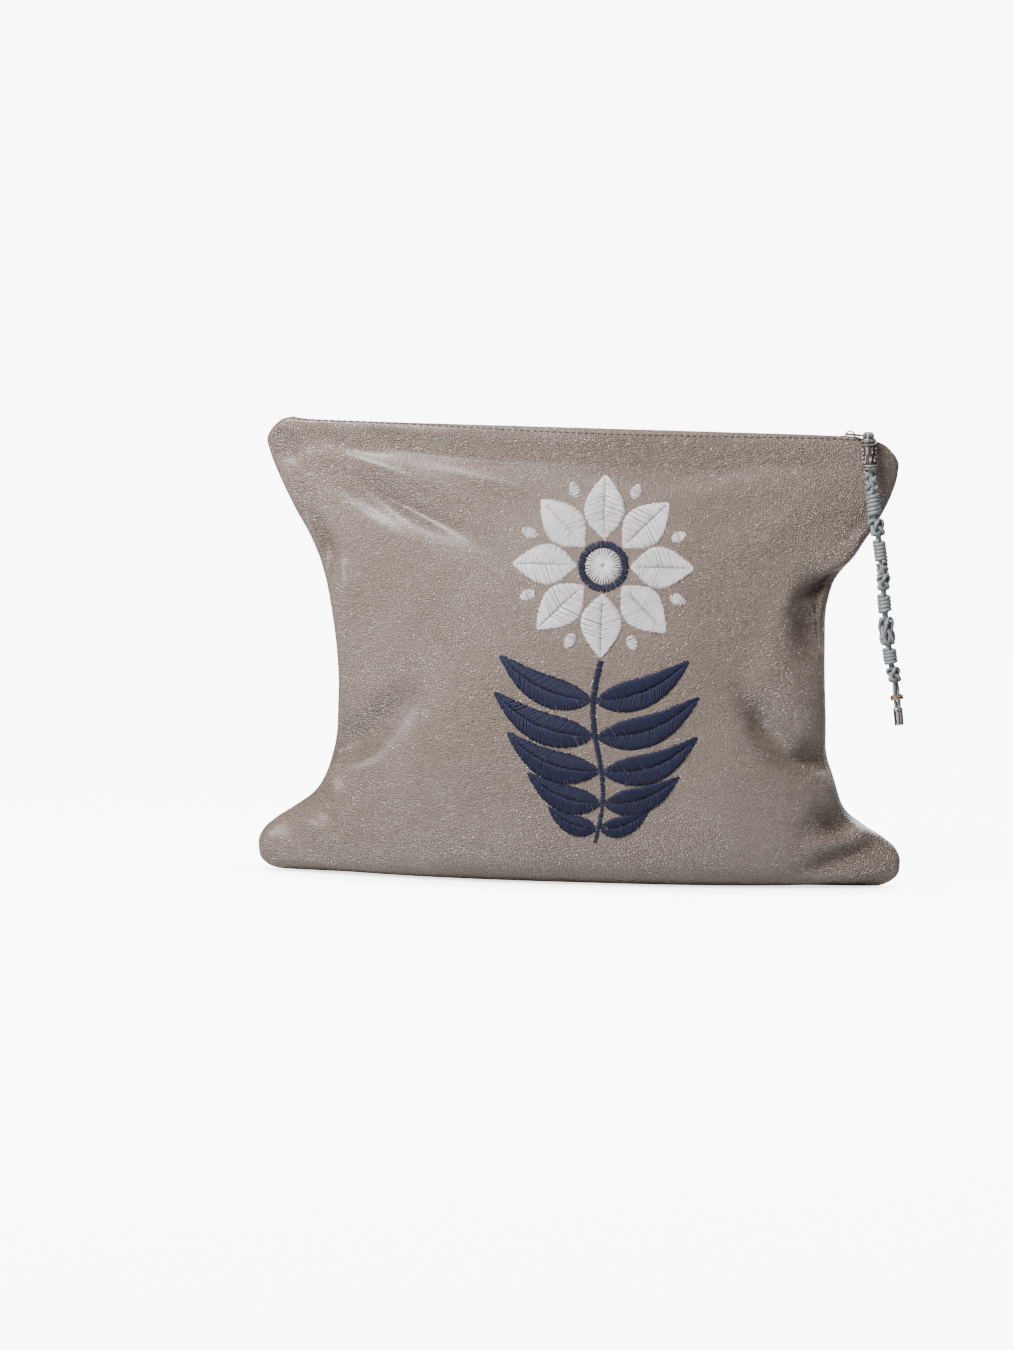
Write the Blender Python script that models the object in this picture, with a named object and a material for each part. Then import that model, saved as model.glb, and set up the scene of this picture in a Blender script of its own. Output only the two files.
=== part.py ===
"""A soft leather tallit bag: two panels sewn into a zipped pouch, with a knotted cord pull.

Metres, +Z up. Seen from the front, +X is to the right and -Y is towards the eye. The origin is at
the middle of the base, where the bag stands on its flattened bottom seam.
"""

import math

import bmesh
import bpy
from mathutils import Matrix, Vector

# Driving dimensions of the bag.
BAG_WIDTH = 0.367
BAG_HEIGHT = 0.2590
BAG_DEPTH = 0.086
LEATHER = 0.0016
EAR_LOFT = 0.0007
EDGE_ROUND = 0.003
CLEARANCE = 0.0003

# Driving dimensions of the zip.
CHAIN_WIDTH = 0.0046
CHAIN_THICKNESS = 0.0022
TOOTH_PITCH = 0.0036
TOOTH_RELIEF = 0.0007
TAPE_THICKNESS = 0.0007
TAPE_LEFT_INSET = 0.0255
TAPE_RIGHT_INSET = 0.0275
TAPE_ROWS = 5
STOP_LENGTH = 0.003
SLIDER_LENGTH = 0.0105
SLIDER_WIDTH = 0.0084
UNDER_PLATE_WIDTH = 0.0066
SLIDER_PLATE = 0.0012
SLIDER_POST = 0.002
PLATE_CLEARANCE = 0.0004
BRIDGE_WIDTH = 0.0010
BRIDGE_HEIGHT = 0.0025
BRIDGE_SPAN = 0.0062
BRIDGE_THICKNESS = 0.0008
SLIDER_INSET = 0.0370
CHAIN_START_INSET = 0.0315
MOUTH_MARGIN = 0.0012

# Places along the zip, set in from the bag's greatest width.
TAPE_LEFT_X = TAPE_LEFT_INSET - BAG_WIDTH / 2
TAPE_RIGHT_X = BAG_WIDTH / 2 - TAPE_RIGHT_INSET
SLIDER_X = BAG_WIDTH / 2 - SLIDER_INSET
CHAIN_START_X = CHAIN_START_INSET - BAG_WIDTH / 2

# Driving dimensions of the puller and of the cord pull that hangs from it.
PULLER_REACH = 0.0150
PULLER_WIDTH = 0.0084
PULLER_ROD = 0.0013
PULLER_TURN = math.radians(-50)
STRAND_RADIUS = 0.00105
WRAP_RADIUS = 0.00415
BEAD_RADIUS = 0.0044
BEAD_BORE = 0.0026
BEAD_LENGTH = 0.0172
BEAD_DROP = 0.0007
RING_WIRE = 0.0009
RING_WIDTH = 0.0024
CAP_RADIUS = 0.0028
CAP_LENGTH = 0.0098
CAP_WALL = 0.0005
CAP_BORE_DEPTH = 0.0042

# Grid of the panels, and the sides of turned and tubular pieces.
FRONT_COLUMNS = 36
BACK_COLUMNS = 30
TURNED_SIDES = 14
COLUMN_SPREAD = math.radians(80)

# Sections of a panel from the bottom seam (0) to the zip edge (1). Heights are shares of BAG_HEIGHT,
# reaches of the side seams are shares of half BAG_WIDTH, belly is a share of half BAG_DEPTH and mouth
# a share of the zip's half opening. Bulge, a share of half BAG_WIDTH, is how far the leather stands
# out past its seam. Fullness under 0.5 is boxy, over 1 is lens-like. Blend is how late the height
# turns from the belly's to the side seam's.
SECTION_COLUMNS = (
    "along", "belly_height", "left_height", "right_height", "left", "right", "belly", "mouth", "bulge",
    "fullness", "blend",
)
SECTIONS = (
    (0.000, 0.000, 0.003, 0.003, 0.930, 0.936, 0.000, 0.00, 0.000, 0.70, 3.2),
    (0.020, 0.000, 0.012, 0.015, 0.966, 0.973, 0.170, 0.00, 0.000, 0.70, 3.2),
    (0.050, 0.000, 0.034, 0.037, 0.993, 0.998, 0.400, 0.00, 0.000, 0.70, 3.2),
    (0.080, 0.004, 0.063, 0.060, 0.997, 1.000, 0.610, 0.00, 0.000, 0.72, 3.2),
    (0.110, 0.018, 0.090, 0.086, 0.982, 0.986, 0.780, 0.00, 0.000, 0.76, 3.2),
    (0.145, 0.055, 0.117, 0.113, 0.942, 0.942, 0.920, 0.00, 0.000, 0.74, 3.2),
    (0.180, 0.105, 0.143, 0.138, 0.888, 0.882, 0.985, 0.00, 0.000, 0.62, 3.2),
    (0.220, 0.160, 0.180, 0.174, 0.822, 0.820, 1.000, 0.00, 0.008, 0.52, 3.2),
    (0.270, 0.222, 0.236, 0.232, 0.780, 0.786, 1.000, 0.00, 0.018, 0.46, 3.2),
    (0.340, 0.306, 0.320, 0.316, 0.758, 0.752, 0.985, 0.00, 0.026, 0.44, 3.2),
    (0.420, 0.400, 0.412, 0.412, 0.752, 0.742, 0.945, 0.00, 0.030, 0.44, 3.2),
    (0.500, 0.492, 0.500, 0.500, 0.760, 0.740, 0.885, 0.00, 0.030, 0.46, 3.2),
    (0.580, 0.583, 0.585, 0.585, 0.780, 0.738, 0.805, 0.00, 0.026, 0.50, 3.2),
    (0.660, 0.672, 0.664, 0.664, 0.814, 0.760, 0.705, 0.00, 0.018, 0.56, 3.2),
    (0.730, 0.748, 0.734, 0.734, 0.856, 0.828, 0.590, 0.00, 0.008, 0.66, 3.2),
    (0.800, 0.818, 0.800, 0.800, 0.910, 0.889, 0.450, 0.00, 0.000, 0.80, 3.2),
    (0.860, 0.876, 0.862, 0.862, 0.955, 0.932, 0.320, 0.10, 0.000, 0.86, 3.4),
    (0.910, 0.922, 0.916, 0.906, 0.988, 0.950, 0.195, 0.35, 0.000, 0.74, 4.0),
    (0.945, 0.950, 0.948, 0.932, 1.000, 0.953, 0.115, 0.72, 0.000, 0.40, 5.0),
    (0.970, 0.971, 0.971, 0.949, 0.986, 0.943, 0.075, 0.95, 0.000, 0.20, 6.5),
    (0.985, 0.983, 0.985, 0.960, 0.967, 0.929, 0.052, 1.00, 0.000, 0.12, 7.5),
    (0.994, 0.990, 0.993, 0.967, 0.952, 0.917, 0.030, 1.00, 0.000, 0.09, 8.0),
    (1.000, 0.9915, 0.998, 0.970, 0.921, 0.905, 0.000, 1.00, 0.000, 0.08, 8.0),
)

# Rows of the grid between the bottom seam and the zip edge, as shares of the panel.
ROWS = (
    0.0, 0.015, 0.042, 0.075, 0.108, 0.145, 0.185, 0.230, 0.285, 0.345, 0.410, 0.475, 0.540, 0.595,
    0.640, 0.680, 0.720, 0.765, 0.815, 0.865, 0.910, 0.942, 0.967, 0.986, 1.0,
)

# Dents and folds. The centre is a share of half BAG_WIDTH and of BAG_HEIGHT, the direction is in
# degrees up from +X, length and width are shares of BAG_HEIGHT, and depth is a share of half
# BAG_DEPTH, positive for a ridge and negative for a dent.
FOLD_COLUMNS = ("across", "height", "direction", "length", "width", "depth")
FRONT_FOLDS = (
    (0.725, 0.668, 26, 0.075, 0.034, -0.160),
    (0.770, 0.720, 42, 0.110, 0.036, 0.100),
    (0.735, 0.585, 80, 0.085, 0.055, -0.130),
    (0.575, 0.350, -50, 0.095, 0.042, -0.130),
    (0.715, 0.286, -4, 0.065, 0.036, -0.130),
    (0.640, 0.440, -62, 0.100, 0.050, 0.070),
    (0.800, 0.138, 25, 0.055, 0.036, -0.100),
    (0.860, 0.115, 8, 0.070, 0.030, 0.060),
    (0.800, 0.065, 20, 0.110, 0.030, -0.060),
    (-0.815, 0.720, -66, 0.080, 0.034, -0.130),
    (-0.750, 0.640, -70, 0.090, 0.040, 0.060),
    (-0.920, 0.935, 25, 0.075, 0.032, -0.050),
    (-0.375, 0.935, -1, 0.220, 0.030, -0.060),
    (0.300, 0.930, 2, 0.200, 0.030, -0.040),
    (-0.585, 0.830, -27, 0.170, 0.038, -0.050),
    (-0.740, 0.300, 8, 0.065, 0.036, -0.120),
    (-0.800, 0.110, 150, 0.070, 0.030, 0.060),
    (-0.600, 0.360, 48, 0.085, 0.040, -0.090),
)
BACK_FOLDS = (
    (0.720, 0.660, 30, 0.075, 0.030, -0.110),
    (-0.730, 0.650, -34, 0.080, 0.030, -0.110),
    (0.700, 0.300, -10, 0.070, 0.032, -0.090),
    (-0.690, 0.320, 14, 0.075, 0.034, -0.090),
    (-0.560, 0.850, 24, 0.160, 0.034, -0.045),
    (0.420, 0.930, -3, 0.220, 0.030, -0.040),
    (0.100, 0.560, 84, 0.300, 0.090, 0.030),
)

# Route of the cord pull, measured from the middle of the puller's far bar, which it hangs from, in
# metres: x, y and z, and the radius of its plaits, wraps, knots and strands there.
PULL_ROUTE = (
    (-0.0001, -0.0000, -0.0031, 0.00210),
    (0.0014, -0.0000, -0.0180, 0.00210),
    (0.0018, -0.0000, -0.0208, 0.00330),
    (0.0026, -0.0001, -0.0247, 0.00360),
    (0.0032, -0.0001, -0.0284, 0.00340),
    (0.0034, -0.0001, -0.0305, 0.00415),
    (0.0049, -0.0001, -0.0450, 0.00415),
    (0.0053, -0.0001, -0.0468, 0.00370),
    (0.0066, -0.0001, -0.0510, 0.00520),
    (0.0074, -0.0002, -0.0558, 0.00400),
    (0.0077, -0.0002, -0.0578, 0.00380),
    (0.0100, -0.0002, -0.0714, 0.00380),
    (0.0104, -0.0002, -0.0738, 0.00330),
    (0.0112, -0.0002, -0.0797, 0.00420),
    (0.0114, -0.0003, -0.0858, 0.00340),
    (0.0115, -0.0003, -0.0878, 0.00400),
    (0.0129, -0.0003, -0.1000, 0.00400),
    (0.0132, -0.0003, -0.1020, 0.00360),
    (0.0138, -0.0003, -0.1090, 0.00520),
    (0.0152, -0.0003, -0.1162, 0.00340),
    (0.0156, -0.0004, -0.1186, 0.00410),
    (0.0171, -0.0004, -0.1280, 0.00410),
    (0.0180, -0.0004, -0.1304, 0.00360),
    (0.0190, -0.0004, -0.1342, 0.00440),
    (0.0201, -0.0004, -0.1390, 0.00310),
    (0.0206, -0.0004, -0.1430, 0.00270),
    (0.0211, -0.0005, -0.1470, 0.00225),
    (0.0217, -0.0005, -0.1518, 0.00215),
    (0.0223, -0.0005, -0.1570, 0.00200),
)
RING_POINT = 26
SAMPLES_PER_SPAN = 2

FRONT = -1
BACK = 1

LEATHER_COLOUR = (0.352, 0.297, 0.257)
TAPE_COLOUR = (0.62, 0.59, 0.55)
NICKEL_COLOUR = (0.74, 0.72, 0.68)
SILVER_COLOUR = (0.42, 0.38, 0.35)
COPPER_COLOUR = (0.60, 0.36, 0.24)
CORD_COLOUR = (0.27, 0.29, 0.30)


def clear_scene():
    """Remove every object that the file opens with."""
    for item in list(bpy.data.objects):
        bpy.data.objects.remove(item, do_unlink=True)


def material(name, colour, roughness, metallic=0.0):
    """A Principled material."""
    made = bpy.data.materials.new(name)
    made.use_nodes = True
    shader = made.node_tree.nodes["Principled BSDF"]
    shader.inputs["Base Color"].default_value = (*colour, 1.0)
    shader.inputs["Roughness"].default_value = roughness
    shader.inputs["Metallic"].default_value = metallic
    return made


def place(name, mesh, finish, smooth_angle=40):
    """An object of a mesh, with its material, shaded smooth below an angle."""
    item = bpy.data.objects.new(name, mesh)
    bpy.context.collection.objects.link(item)
    if finish is not None:
        mesh.materials.append(finish)
    mesh.shade_smooth()
    mesh.set_sharp_from_angle(angle=math.radians(smooth_angle))
    return item


def mesh_of(name, bm):
    """A mesh from a bmesh, its faces turned outwards."""
    bmesh.ops.recalc_face_normals(bm, faces=bm.faces)
    mesh = bpy.data.meshes.new(name)
    bm.to_mesh(mesh)
    bm.free()
    return mesh


def mix(a, b, share):
    """The value a share of the way from a to b."""
    return a + (b - a) * share


def slopes(places, values):
    """Tangents of a monotone cubic through the values."""
    count = len(places)
    steps = [(values[i + 1] - values[i]) / (places[i + 1] - places[i]) for i in range(count - 1)]
    tangents = [steps[0]]
    for before, after in zip(steps, steps[1:]):
        if before * after <= 0:
            tangents.append(0.0)
        else:
            tangents.append(2 * before * after / (before + after))
    tangents.append(steps[-1])
    return tangents


class Column:
    """A column of a table, read as a smooth function of the first column."""

    def __init__(self, rows, columns, name):
        """Take the named column of the rows."""
        index = columns.index(name)
        self.places = [row[0] for row in rows]
        self.values = [row[index] for row in rows]
        self.tangents = slopes(self.places, self.values)

    def at(self, place):
        """The value at a place between the first row and the last."""
        index = 0
        while index < len(self.places) - 2 and place > self.places[index + 1]:
            index += 1
        span = self.places[index + 1] - self.places[index]
        t = min(max((place - self.places[index]) / span, 0.0), 1.0)
        start, end = self.values[index], self.values[index + 1]
        leave, arrive = self.tangents[index] * span, self.tangents[index + 1] * span
        return (
            start * (1 + 2 * t) * (1 - t) ** 2
            + leave * t * (1 - t) ** 2
            + end * t * t * (3 - 2 * t)
            + arrive * t * t * (t - 1)
        )


PROFILE = {name: Column(SECTIONS, SECTION_COLUMNS, name) for name in SECTION_COLUMNS[1:]}


def mouth_half():
    """Half the opening between the leather edges along the zip."""
    return SLIDER_WIDTH / 2 + MOUTH_MARGIN


def ear_half():
    """Half the thickness of the flat corners of the bag, where both panels lie close."""
    return LEATHER + CLEARANCE / 2 + EAR_LOFT


def panel_base_point(side, across, along):
    """A point of a panel's outer face before its folds.

    across runs from -1 at the left side seam to 1 at the right one, and along from 0 at the bottom
    seam to 1 at the zip edge.
    """
    row = {name: column.at(along) for name, column in PROFILE.items()}
    share = math.sin(across * COLUMN_SPREAD) / math.sin(COLUMN_SPREAD)
    from_seam = 1 - abs(share)
    seam = (row["left"] if across < 0 else row["right"]) * BAG_WIDTH / 2
    lip = row["bulge"] * BAG_WIDTH / 2 * min(from_seam / 0.05, 1.0) ** 0.5
    x = share * (seam + lip)
    seam_height = row["left_height"] if across < 0 else row["right_height"]
    z = BAG_HEIGHT * mix(row["belly_height"], seam_height, abs(across) ** row["blend"])
    middle = row["belly"] * BAG_DEPTH / 2 + row["mouth"] * mouth_half()
    ear = min(ear_half(), middle)
    depth = ear + (middle - ear) * (1 - share * share) ** row["fullness"]
    distance = min(from_seam * seam / EDGE_ROUND, 1.0)
    depth *= math.sqrt(1 - (1 - distance) ** 2)
    return Vector((x, side * max(depth, CLEARANCE / 2), z))


def outward(side, across, along):
    """The outward direction of a panel's outer face."""
    step = 0.004
    left, right = max(across - step, -1), min(across + step, 1)
    low, high = max(along - step, 0), min(along + step, 1)
    over = panel_base_point(side, right, along) - panel_base_point(side, left, along)
    up = panel_base_point(side, across, high) - panel_base_point(side, across, low)
    normal = over.cross(up) * -side
    return normal.normalized()


def fold_height(folds, x, z):
    """How far the folds lift the face at a place, in metres."""
    total = 0.0
    for row in folds:
        fold = dict(zip(FOLD_COLUMNS, row))
        turn = math.radians(fold["direction"])
        dx = x - fold["across"] * BAG_WIDTH / 2
        dz = z - fold["height"] * BAG_HEIGHT
        run = (dx * math.cos(turn) + dz * math.sin(turn)) / (fold["length"] * BAG_HEIGHT)
        off = (dz * math.cos(turn) - dx * math.sin(turn)) / (fold["width"] * BAG_HEIGHT)
        total += fold["depth"] * BAG_DEPTH / 2 * math.exp(-run * run - off * off)
    return total


def fold_fade(across, along):
    """Folds fade out at the seams, over the base and by the zip."""
    sides = min((1 - abs(across)) / 0.10, 1.0)
    base = min(max((along - 0.07) / 0.08, 0.0), 1.0)
    top = min(max((0.985 - along) / 0.03, 0.0), 1.0)
    return sides * base * top


def panel_point(side, folds, across, along):
    """A point of a panel's outer face."""
    point = panel_base_point(side, across, along)
    lift = fold_height(folds, point.x, point.z) * fold_fade(across, along)
    return point + outward(side, across, along) * lift


def inward_offset(point, normal, wall, side, on_seam):
    """The point a wall's thickness inside the face, kept on its own side of the seam plane."""
    direction = normal.copy()
    if on_seam:
        direction.y = 0
        direction.normalize()
    moved = point - direction * wall
    if side * moved.y < CLEARANCE / 2:
        moved.y = side * CLEARANCE / 2
    return moved


def close_strip(bm, outer, inner):
    """Faces of a wall between two grids of vertices, with its rim."""
    columns, rows = len(outer) - 1, len(outer[0]) - 1
    for i in range(columns):
        for j in range(rows):
            bm.faces.new((outer[i][j], outer[i + 1][j], outer[i + 1][j + 1], outer[i][j + 1]))
            bm.faces.new((inner[i][j + 1], inner[i + 1][j + 1], inner[i + 1][j], inner[i][j]))
    for i in range(columns):
        bm.faces.new((inner[i][0], inner[i + 1][0], outer[i + 1][0], outer[i][0]))
        bm.faces.new((outer[i][rows], outer[i + 1][rows], inner[i + 1][rows], inner[i][rows]))
    for j in range(rows):
        bm.faces.new((outer[0][j], outer[0][j + 1], inner[0][j + 1], inner[0][j]))
        bm.faces.new((inner[columns][j], inner[columns][j + 1], outer[columns][j + 1], outer[columns][j]))


def face_grid(side, folds, columns):
    """Points of a panel's outer face and their outward normals, column by column."""
    across = [2 * i / columns - 1 for i in range(columns + 1)]
    points = [[panel_point(side, folds, u, v) for v in ROWS] for u in across]
    last = len(ROWS) - 1
    normals = []
    for i in range(columns + 1):
        column = []
        for j in range(last + 1):
            over = points[min(i + 1, columns)][j] - points[max(i - 1, 0)][j]
            up = points[i][min(j + 1, last)] - points[i][max(j - 1, 0)]
            column.append((over.cross(up) * -side).normalized())
        normals.append(column)
    return points, normals


def panel(name, side, folds, columns, finish):
    """One leather panel, a wall of leather with the bag's hollow behind it."""
    bm = bmesh.new()
    points, normals = face_grid(side, folds, columns)
    outer = [[bm.verts.new(point) for point in column] for column in points]
    inner = []
    for i, column in enumerate(points):
        inner.append([])
        for j, point in enumerate(column):
            on_seam = i in (0, columns) or j == 0
            moved = inward_offset(point, normals[i][j], LEATHER, side, on_seam)
            inner[-1].append(bm.verts.new(moved))
    close_strip(bm, outer, inner)
    return place(name, mesh_of(name, bm), finish, 60)


def across_at(x):
    """The place across the zip edge that lies at a given x."""
    low, high = -1.0, 1.0
    for _ in range(40):
        middle = (low + high) / 2
        if panel_base_point(FRONT, middle, 1.0).x < x:
            low = middle
        else:
            high = middle
    return (low + high) / 2


def zip_depth():
    """How far the middle of the zip lies under the leather edges."""
    return LEATHER + CLEARANCE + TAPE_THICKNESS / 2


def zip_height(x):
    """Height of the middle of the zip at a given x."""
    return panel_base_point(FRONT, across_at(x), 1.0).z - zip_depth()


def tape(name, side, folds, columns, finish):
    """One woven tape: it lies under the leather edge and reaches to the teeth."""
    bm = bmesh.new()
    points, normals = face_grid(side, folds, columns)
    first = len(ROWS) - TAPE_ROWS
    tops, bottoms = [], []
    for column, directions in zip(points, normals):
        edge = column[-1]
        if not TAPE_LEFT_X < edge.x < TAPE_RIGHT_X:
            continue
        pairs = list(zip(column, directions))[first:]
        near = [point - normal * (LEATHER + CLEARANCE) for point, normal in pairs]
        far = [point - normal * (LEATHER + CLEARANCE + TAPE_THICKNESS) for point, normal in pairs]
        inner_y = side * (CHAIN_WIDTH / 2 + CLEARANCE)
        middle = edge.z - zip_depth()
        near.append(Vector((edge.x, inner_y, middle + TAPE_THICKNESS / 2)))
        far.append(Vector((edge.x, inner_y, middle - TAPE_THICKNESS / 2)))
        tops.append([bm.verts.new(point) for point in near])
        bottoms.append([bm.verts.new(point) for point in far])
    close_strip(bm, tops, bottoms)
    return place(name, mesh_of(name, bm), finish)


def zip_chain(finish):
    """The closed row of teeth, a bar notched at every tooth."""
    bm = bmesh.new()
    end = SLIDER_X + SLIDER_LENGTH / 2 - SLIDER_POST - CLEARANCE
    halves = 2 * round((end - CHAIN_START_X) / TOOTH_PITCH)
    rings = []
    for i in range(halves + 1):
        x = mix(CHAIN_START_X, end, i / halves)
        relief = TOOTH_RELIEF * (i % 2)
        half_width = CHAIN_WIDTH / 2 - relief
        half_height = CHAIN_THICKNESS / 2 - relief / 2
        z = zip_height(x)
        corners = ((-1, -1), (1, -1), (1, 1), (-1, 1))
        rings.append([bm.verts.new((x, a * half_width, z + b * half_height)) for a, b in corners])
    for before, after in zip(rings, rings[1:]):
        for k in range(4):
            bm.faces.new((before[k], before[(k + 1) % 4], after[(k + 1) % 4], after[k]))
    bm.faces.new(rings[0])
    bm.faces.new(rings[-1])
    return place("zip_chain", mesh_of("zip_chain", bm), finish, 20)


def zip_frame(x):
    """The place and tilt of the zip at a given x: +X along the teeth, +Z off the zip."""
    step = SLIDER_LENGTH / 2
    rise = zip_height(x + step) - zip_height(x - step)
    tilt = Matrix.Rotation(-math.atan2(rise, 2 * step), 4, "Y")
    middle = (zip_height(x + step) + zip_height(x - step)) / 2
    return Matrix.Translation((x, 0, middle)) @ tilt


def box(name, size, centre, frame, finish, bevel=0.0):
    """A box with bevelled edges, its centre given in a frame."""
    bm = bmesh.new()
    bmesh.ops.create_cube(bm, size=1.0)
    bmesh.ops.scale(bm, vec=size, verts=bm.verts)
    if bevel:
        bmesh.ops.bevel(bm, geom=bm.edges[:], offset=bevel, segments=1, affect="EDGES")
    bmesh.ops.translate(bm, vec=centre, verts=bm.verts)
    bmesh.ops.transform(bm, matrix=frame, verts=bm.verts)
    return place(name, mesh_of(name, bm), finish, 30)


def boolean(target, other, operation):
    """Join another shape to the target, or cut it out; the other is left as a guide."""
    modifier = target.modifiers.new(other.name, "BOOLEAN")
    modifier.operation = operation
    modifier.object = other
    other.hide_render = True
    other.display_type = "WIRE"


def arch(name, foot_height, frame, finish):
    """The slider's bridge, half a hoop standing on the top plate along the teeth."""
    bm = bmesh.new()
    steps = 8
    sections = []
    for i in range(steps + 1):
        angle = math.pi * i / steps
        sink = SLIDER_PLATE / 2 if i in (0, steps) else 0.0
        ring = []
        for grow in (0.0, BRIDGE_THICKNESS):
            x = (BRIDGE_SPAN / 2 - BRIDGE_THICKNESS + grow) * math.cos(angle)
            z = (BRIDGE_HEIGHT + grow) * math.sin(angle) - sink
            ring.append((x, foot_height + z))
        sections.append(ring)
    rings = []
    for inner, outer in sections:
        corners = ((*inner, -1), (*outer, -1), (*outer, 1), (*inner, 1))
        rings.append([bm.verts.new(frame @ Vector((x, y * BRIDGE_WIDTH / 2, z))) for x, z, y in corners])
    for before, after in zip(rings, rings[1:]):
        for k in range(4):
            bm.faces.new((before[k], before[(k + 1) % 4], after[(k + 1) % 4], after[k]))
    bm.faces.new(rings[0])
    bm.faces.new(rings[-1])
    return place(name, mesh_of(name, bm), finish)


def plate_offset():
    """Height of a slider plate's middle over the middle of the zip."""
    return CHAIN_THICKNESS / 2 + PLATE_CLEARANCE + SLIDER_PLATE / 2


def slider(finish):
    """The slider: two plates over and under the teeth, a post between the tapes and a bridge."""
    frame = zip_frame(SLIDER_X)
    offset = plate_offset()
    size = (SLIDER_LENGTH, SLIDER_WIDTH, SLIDER_PLATE)
    body = box("zip_slider", size, (0, 0, offset), frame, finish, SLIDER_PLATE * 0.3)
    under_size = (SLIDER_LENGTH, UNDER_PLATE_WIDTH, SLIDER_PLATE)
    under = box("slider_under", under_size, (0, 0, -offset), frame, None, SLIDER_PLATE * 0.3)
    post_size = (SLIDER_POST * 0.96, SLIDER_POST, 2 * offset)
    post = box("slider_post", post_size, ((SLIDER_LENGTH - SLIDER_POST) / 2, 0, 0), frame, None)
    bridge = arch("slider_bridge", offset + SLIDER_PLATE / 2, frame, None)
    for other in (under, post, bridge):
        boolean(body, other, "UNION")
    return body


def zip_stop(finish):
    """The stop at the left end of the teeth."""
    x = CHAIN_START_X - CLEARANCE - STOP_LENGTH / 2
    size = (STOP_LENGTH, CHAIN_WIDTH, CHAIN_THICKNESS)
    return box("zip_stop", size, (0, 0, 0), zip_frame(x), finish, CHAIN_THICKNESS * 0.2)


def rounded_outline(length, width, radius, steps=4):
    """Points of a rounded rectangle about the origin."""
    points = []
    corners = ((1, 1, 0), (-1, 1, 90), (-1, -1, 180), (1, -1, 270))
    for sx, sy, start in corners:
        for k in range(steps + 1):
            angle = math.radians(start + 90 * k / steps)
            x = sx * (length / 2 - radius) + radius * math.cos(angle)
            y = sy * (width / 2 - radius) + radius * math.sin(angle)
            points.append((x, y))
    return points


def prism(name, outline, thickness, place_matrix, finish):
    """An upright prism of an outline, centred on its own middle height."""
    bm = bmesh.new()
    bottom = [bm.verts.new(place_matrix @ Vector((x, y, -thickness / 2))) for x, y in outline]
    top = [bm.verts.new(place_matrix @ Vector((x, y, thickness / 2))) for x, y in outline]
    bm.faces.new(bottom)
    bm.faces.new(top)
    for k in range(len(outline)):
        after = (k + 1) % len(outline)
        bm.faces.new((bottom[k], bottom[after], top[after], top[k]))
    return place(name, mesh_of(name, bm), finish, 30)


def puller_frame():
    """The puller's own frame: its origin under the slider's bridge, +X the way it points."""
    rise = plate_offset() + SLIDER_PLATE / 2 + CLEARANCE + PULLER_ROD / 2
    turn = Matrix.Rotation(PULLER_TURN, 4, "Z")
    return zip_frame(SLIDER_X) @ Matrix.Translation((0, 0, rise)) @ turn


def puller_direction():
    """The level direction in which the puller points, over the front edge of the bag."""
    return Vector((math.cos(PULLER_TURN), math.sin(PULLER_TURN), 0))


def puller_bar():
    """The middle of the puller's far bar, which the cord loops over."""
    return puller_frame() @ Vector((PULLER_REACH, 0, 0))


def puller(finish):
    """The openwork frame puller: a rounded frame with a crossbar, its near bar under the bridge."""
    length = PULLER_REACH + PULLER_ROD
    frame = puller_frame()
    outline = rounded_outline(length, PULLER_WIDTH, PULLER_WIDTH * 0.32)
    middle = frame @ Matrix.Translation((PULLER_REACH / 2, 0, 0))
    body = prism("zip_puller", outline, PULLER_ROD, middle, finish)
    crossbar = PULLER_REACH * 0.5
    windows = (
        (PULLER_ROD / 2, crossbar - PULLER_ROD / 2),
        (crossbar + PULLER_ROD / 2, PULLER_REACH - PULLER_ROD / 2),
    )
    for index, (near, far) in enumerate(windows):
        inside = rounded_outline(far - near, PULLER_WIDTH - 2 * PULLER_ROD, PULLER_ROD * 0.7, 2)
        centre = frame @ Matrix.Translation(((near + far) / 2, 0, 0))
        cutter = prism(f"puller_window_{index}", inside, 2 * PULLER_ROD, centre, None)
        boolean(body, cutter, "DIFFERENCE")
    return body


def curve_between(points, samples):
    """Points of a smooth curve through the given points, with their last value carried along."""
    smooth = []
    for index in range(len(points) - 1):
        before = points[max(index - 1, 0)]
        start = points[index]
        end = points[index + 1]
        after = points[min(index + 2, len(points) - 1)]
        for k in range(samples):
            t = k / samples
            smooth.append(tuple(
                0.5 * (
                    2 * b + (c - a) * t + (2 * a - 5 * b + 4 * c - d) * t * t
                    + (3 * b - a - 3 * c + d) * t ** 3
                )
                for a, b, c, d in zip(before, start, end, after)
            ))
    smooth.append(tuple(points[-1]))
    return smooth


def tube(name, points, radius, finish):
    """A round cord along points of x, y, z and radius."""
    curve = bpy.data.curves.new(name, "CURVE")
    curve.dimensions = "3D"
    curve.bevel_depth = radius
    curve.bevel_resolution = 2
    curve.use_fill_caps = True
    spline = curve.splines.new("POLY")
    spline.points.add(len(points) - 1)
    for point, (x, y, z, local) in zip(spline.points, points):
        point.co = (x, y, z, 1)
        point.radius = local / radius
    curve.materials.append(finish)
    item = bpy.data.objects.new(name, curve)
    bpy.context.collection.objects.link(item)
    return item


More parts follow.
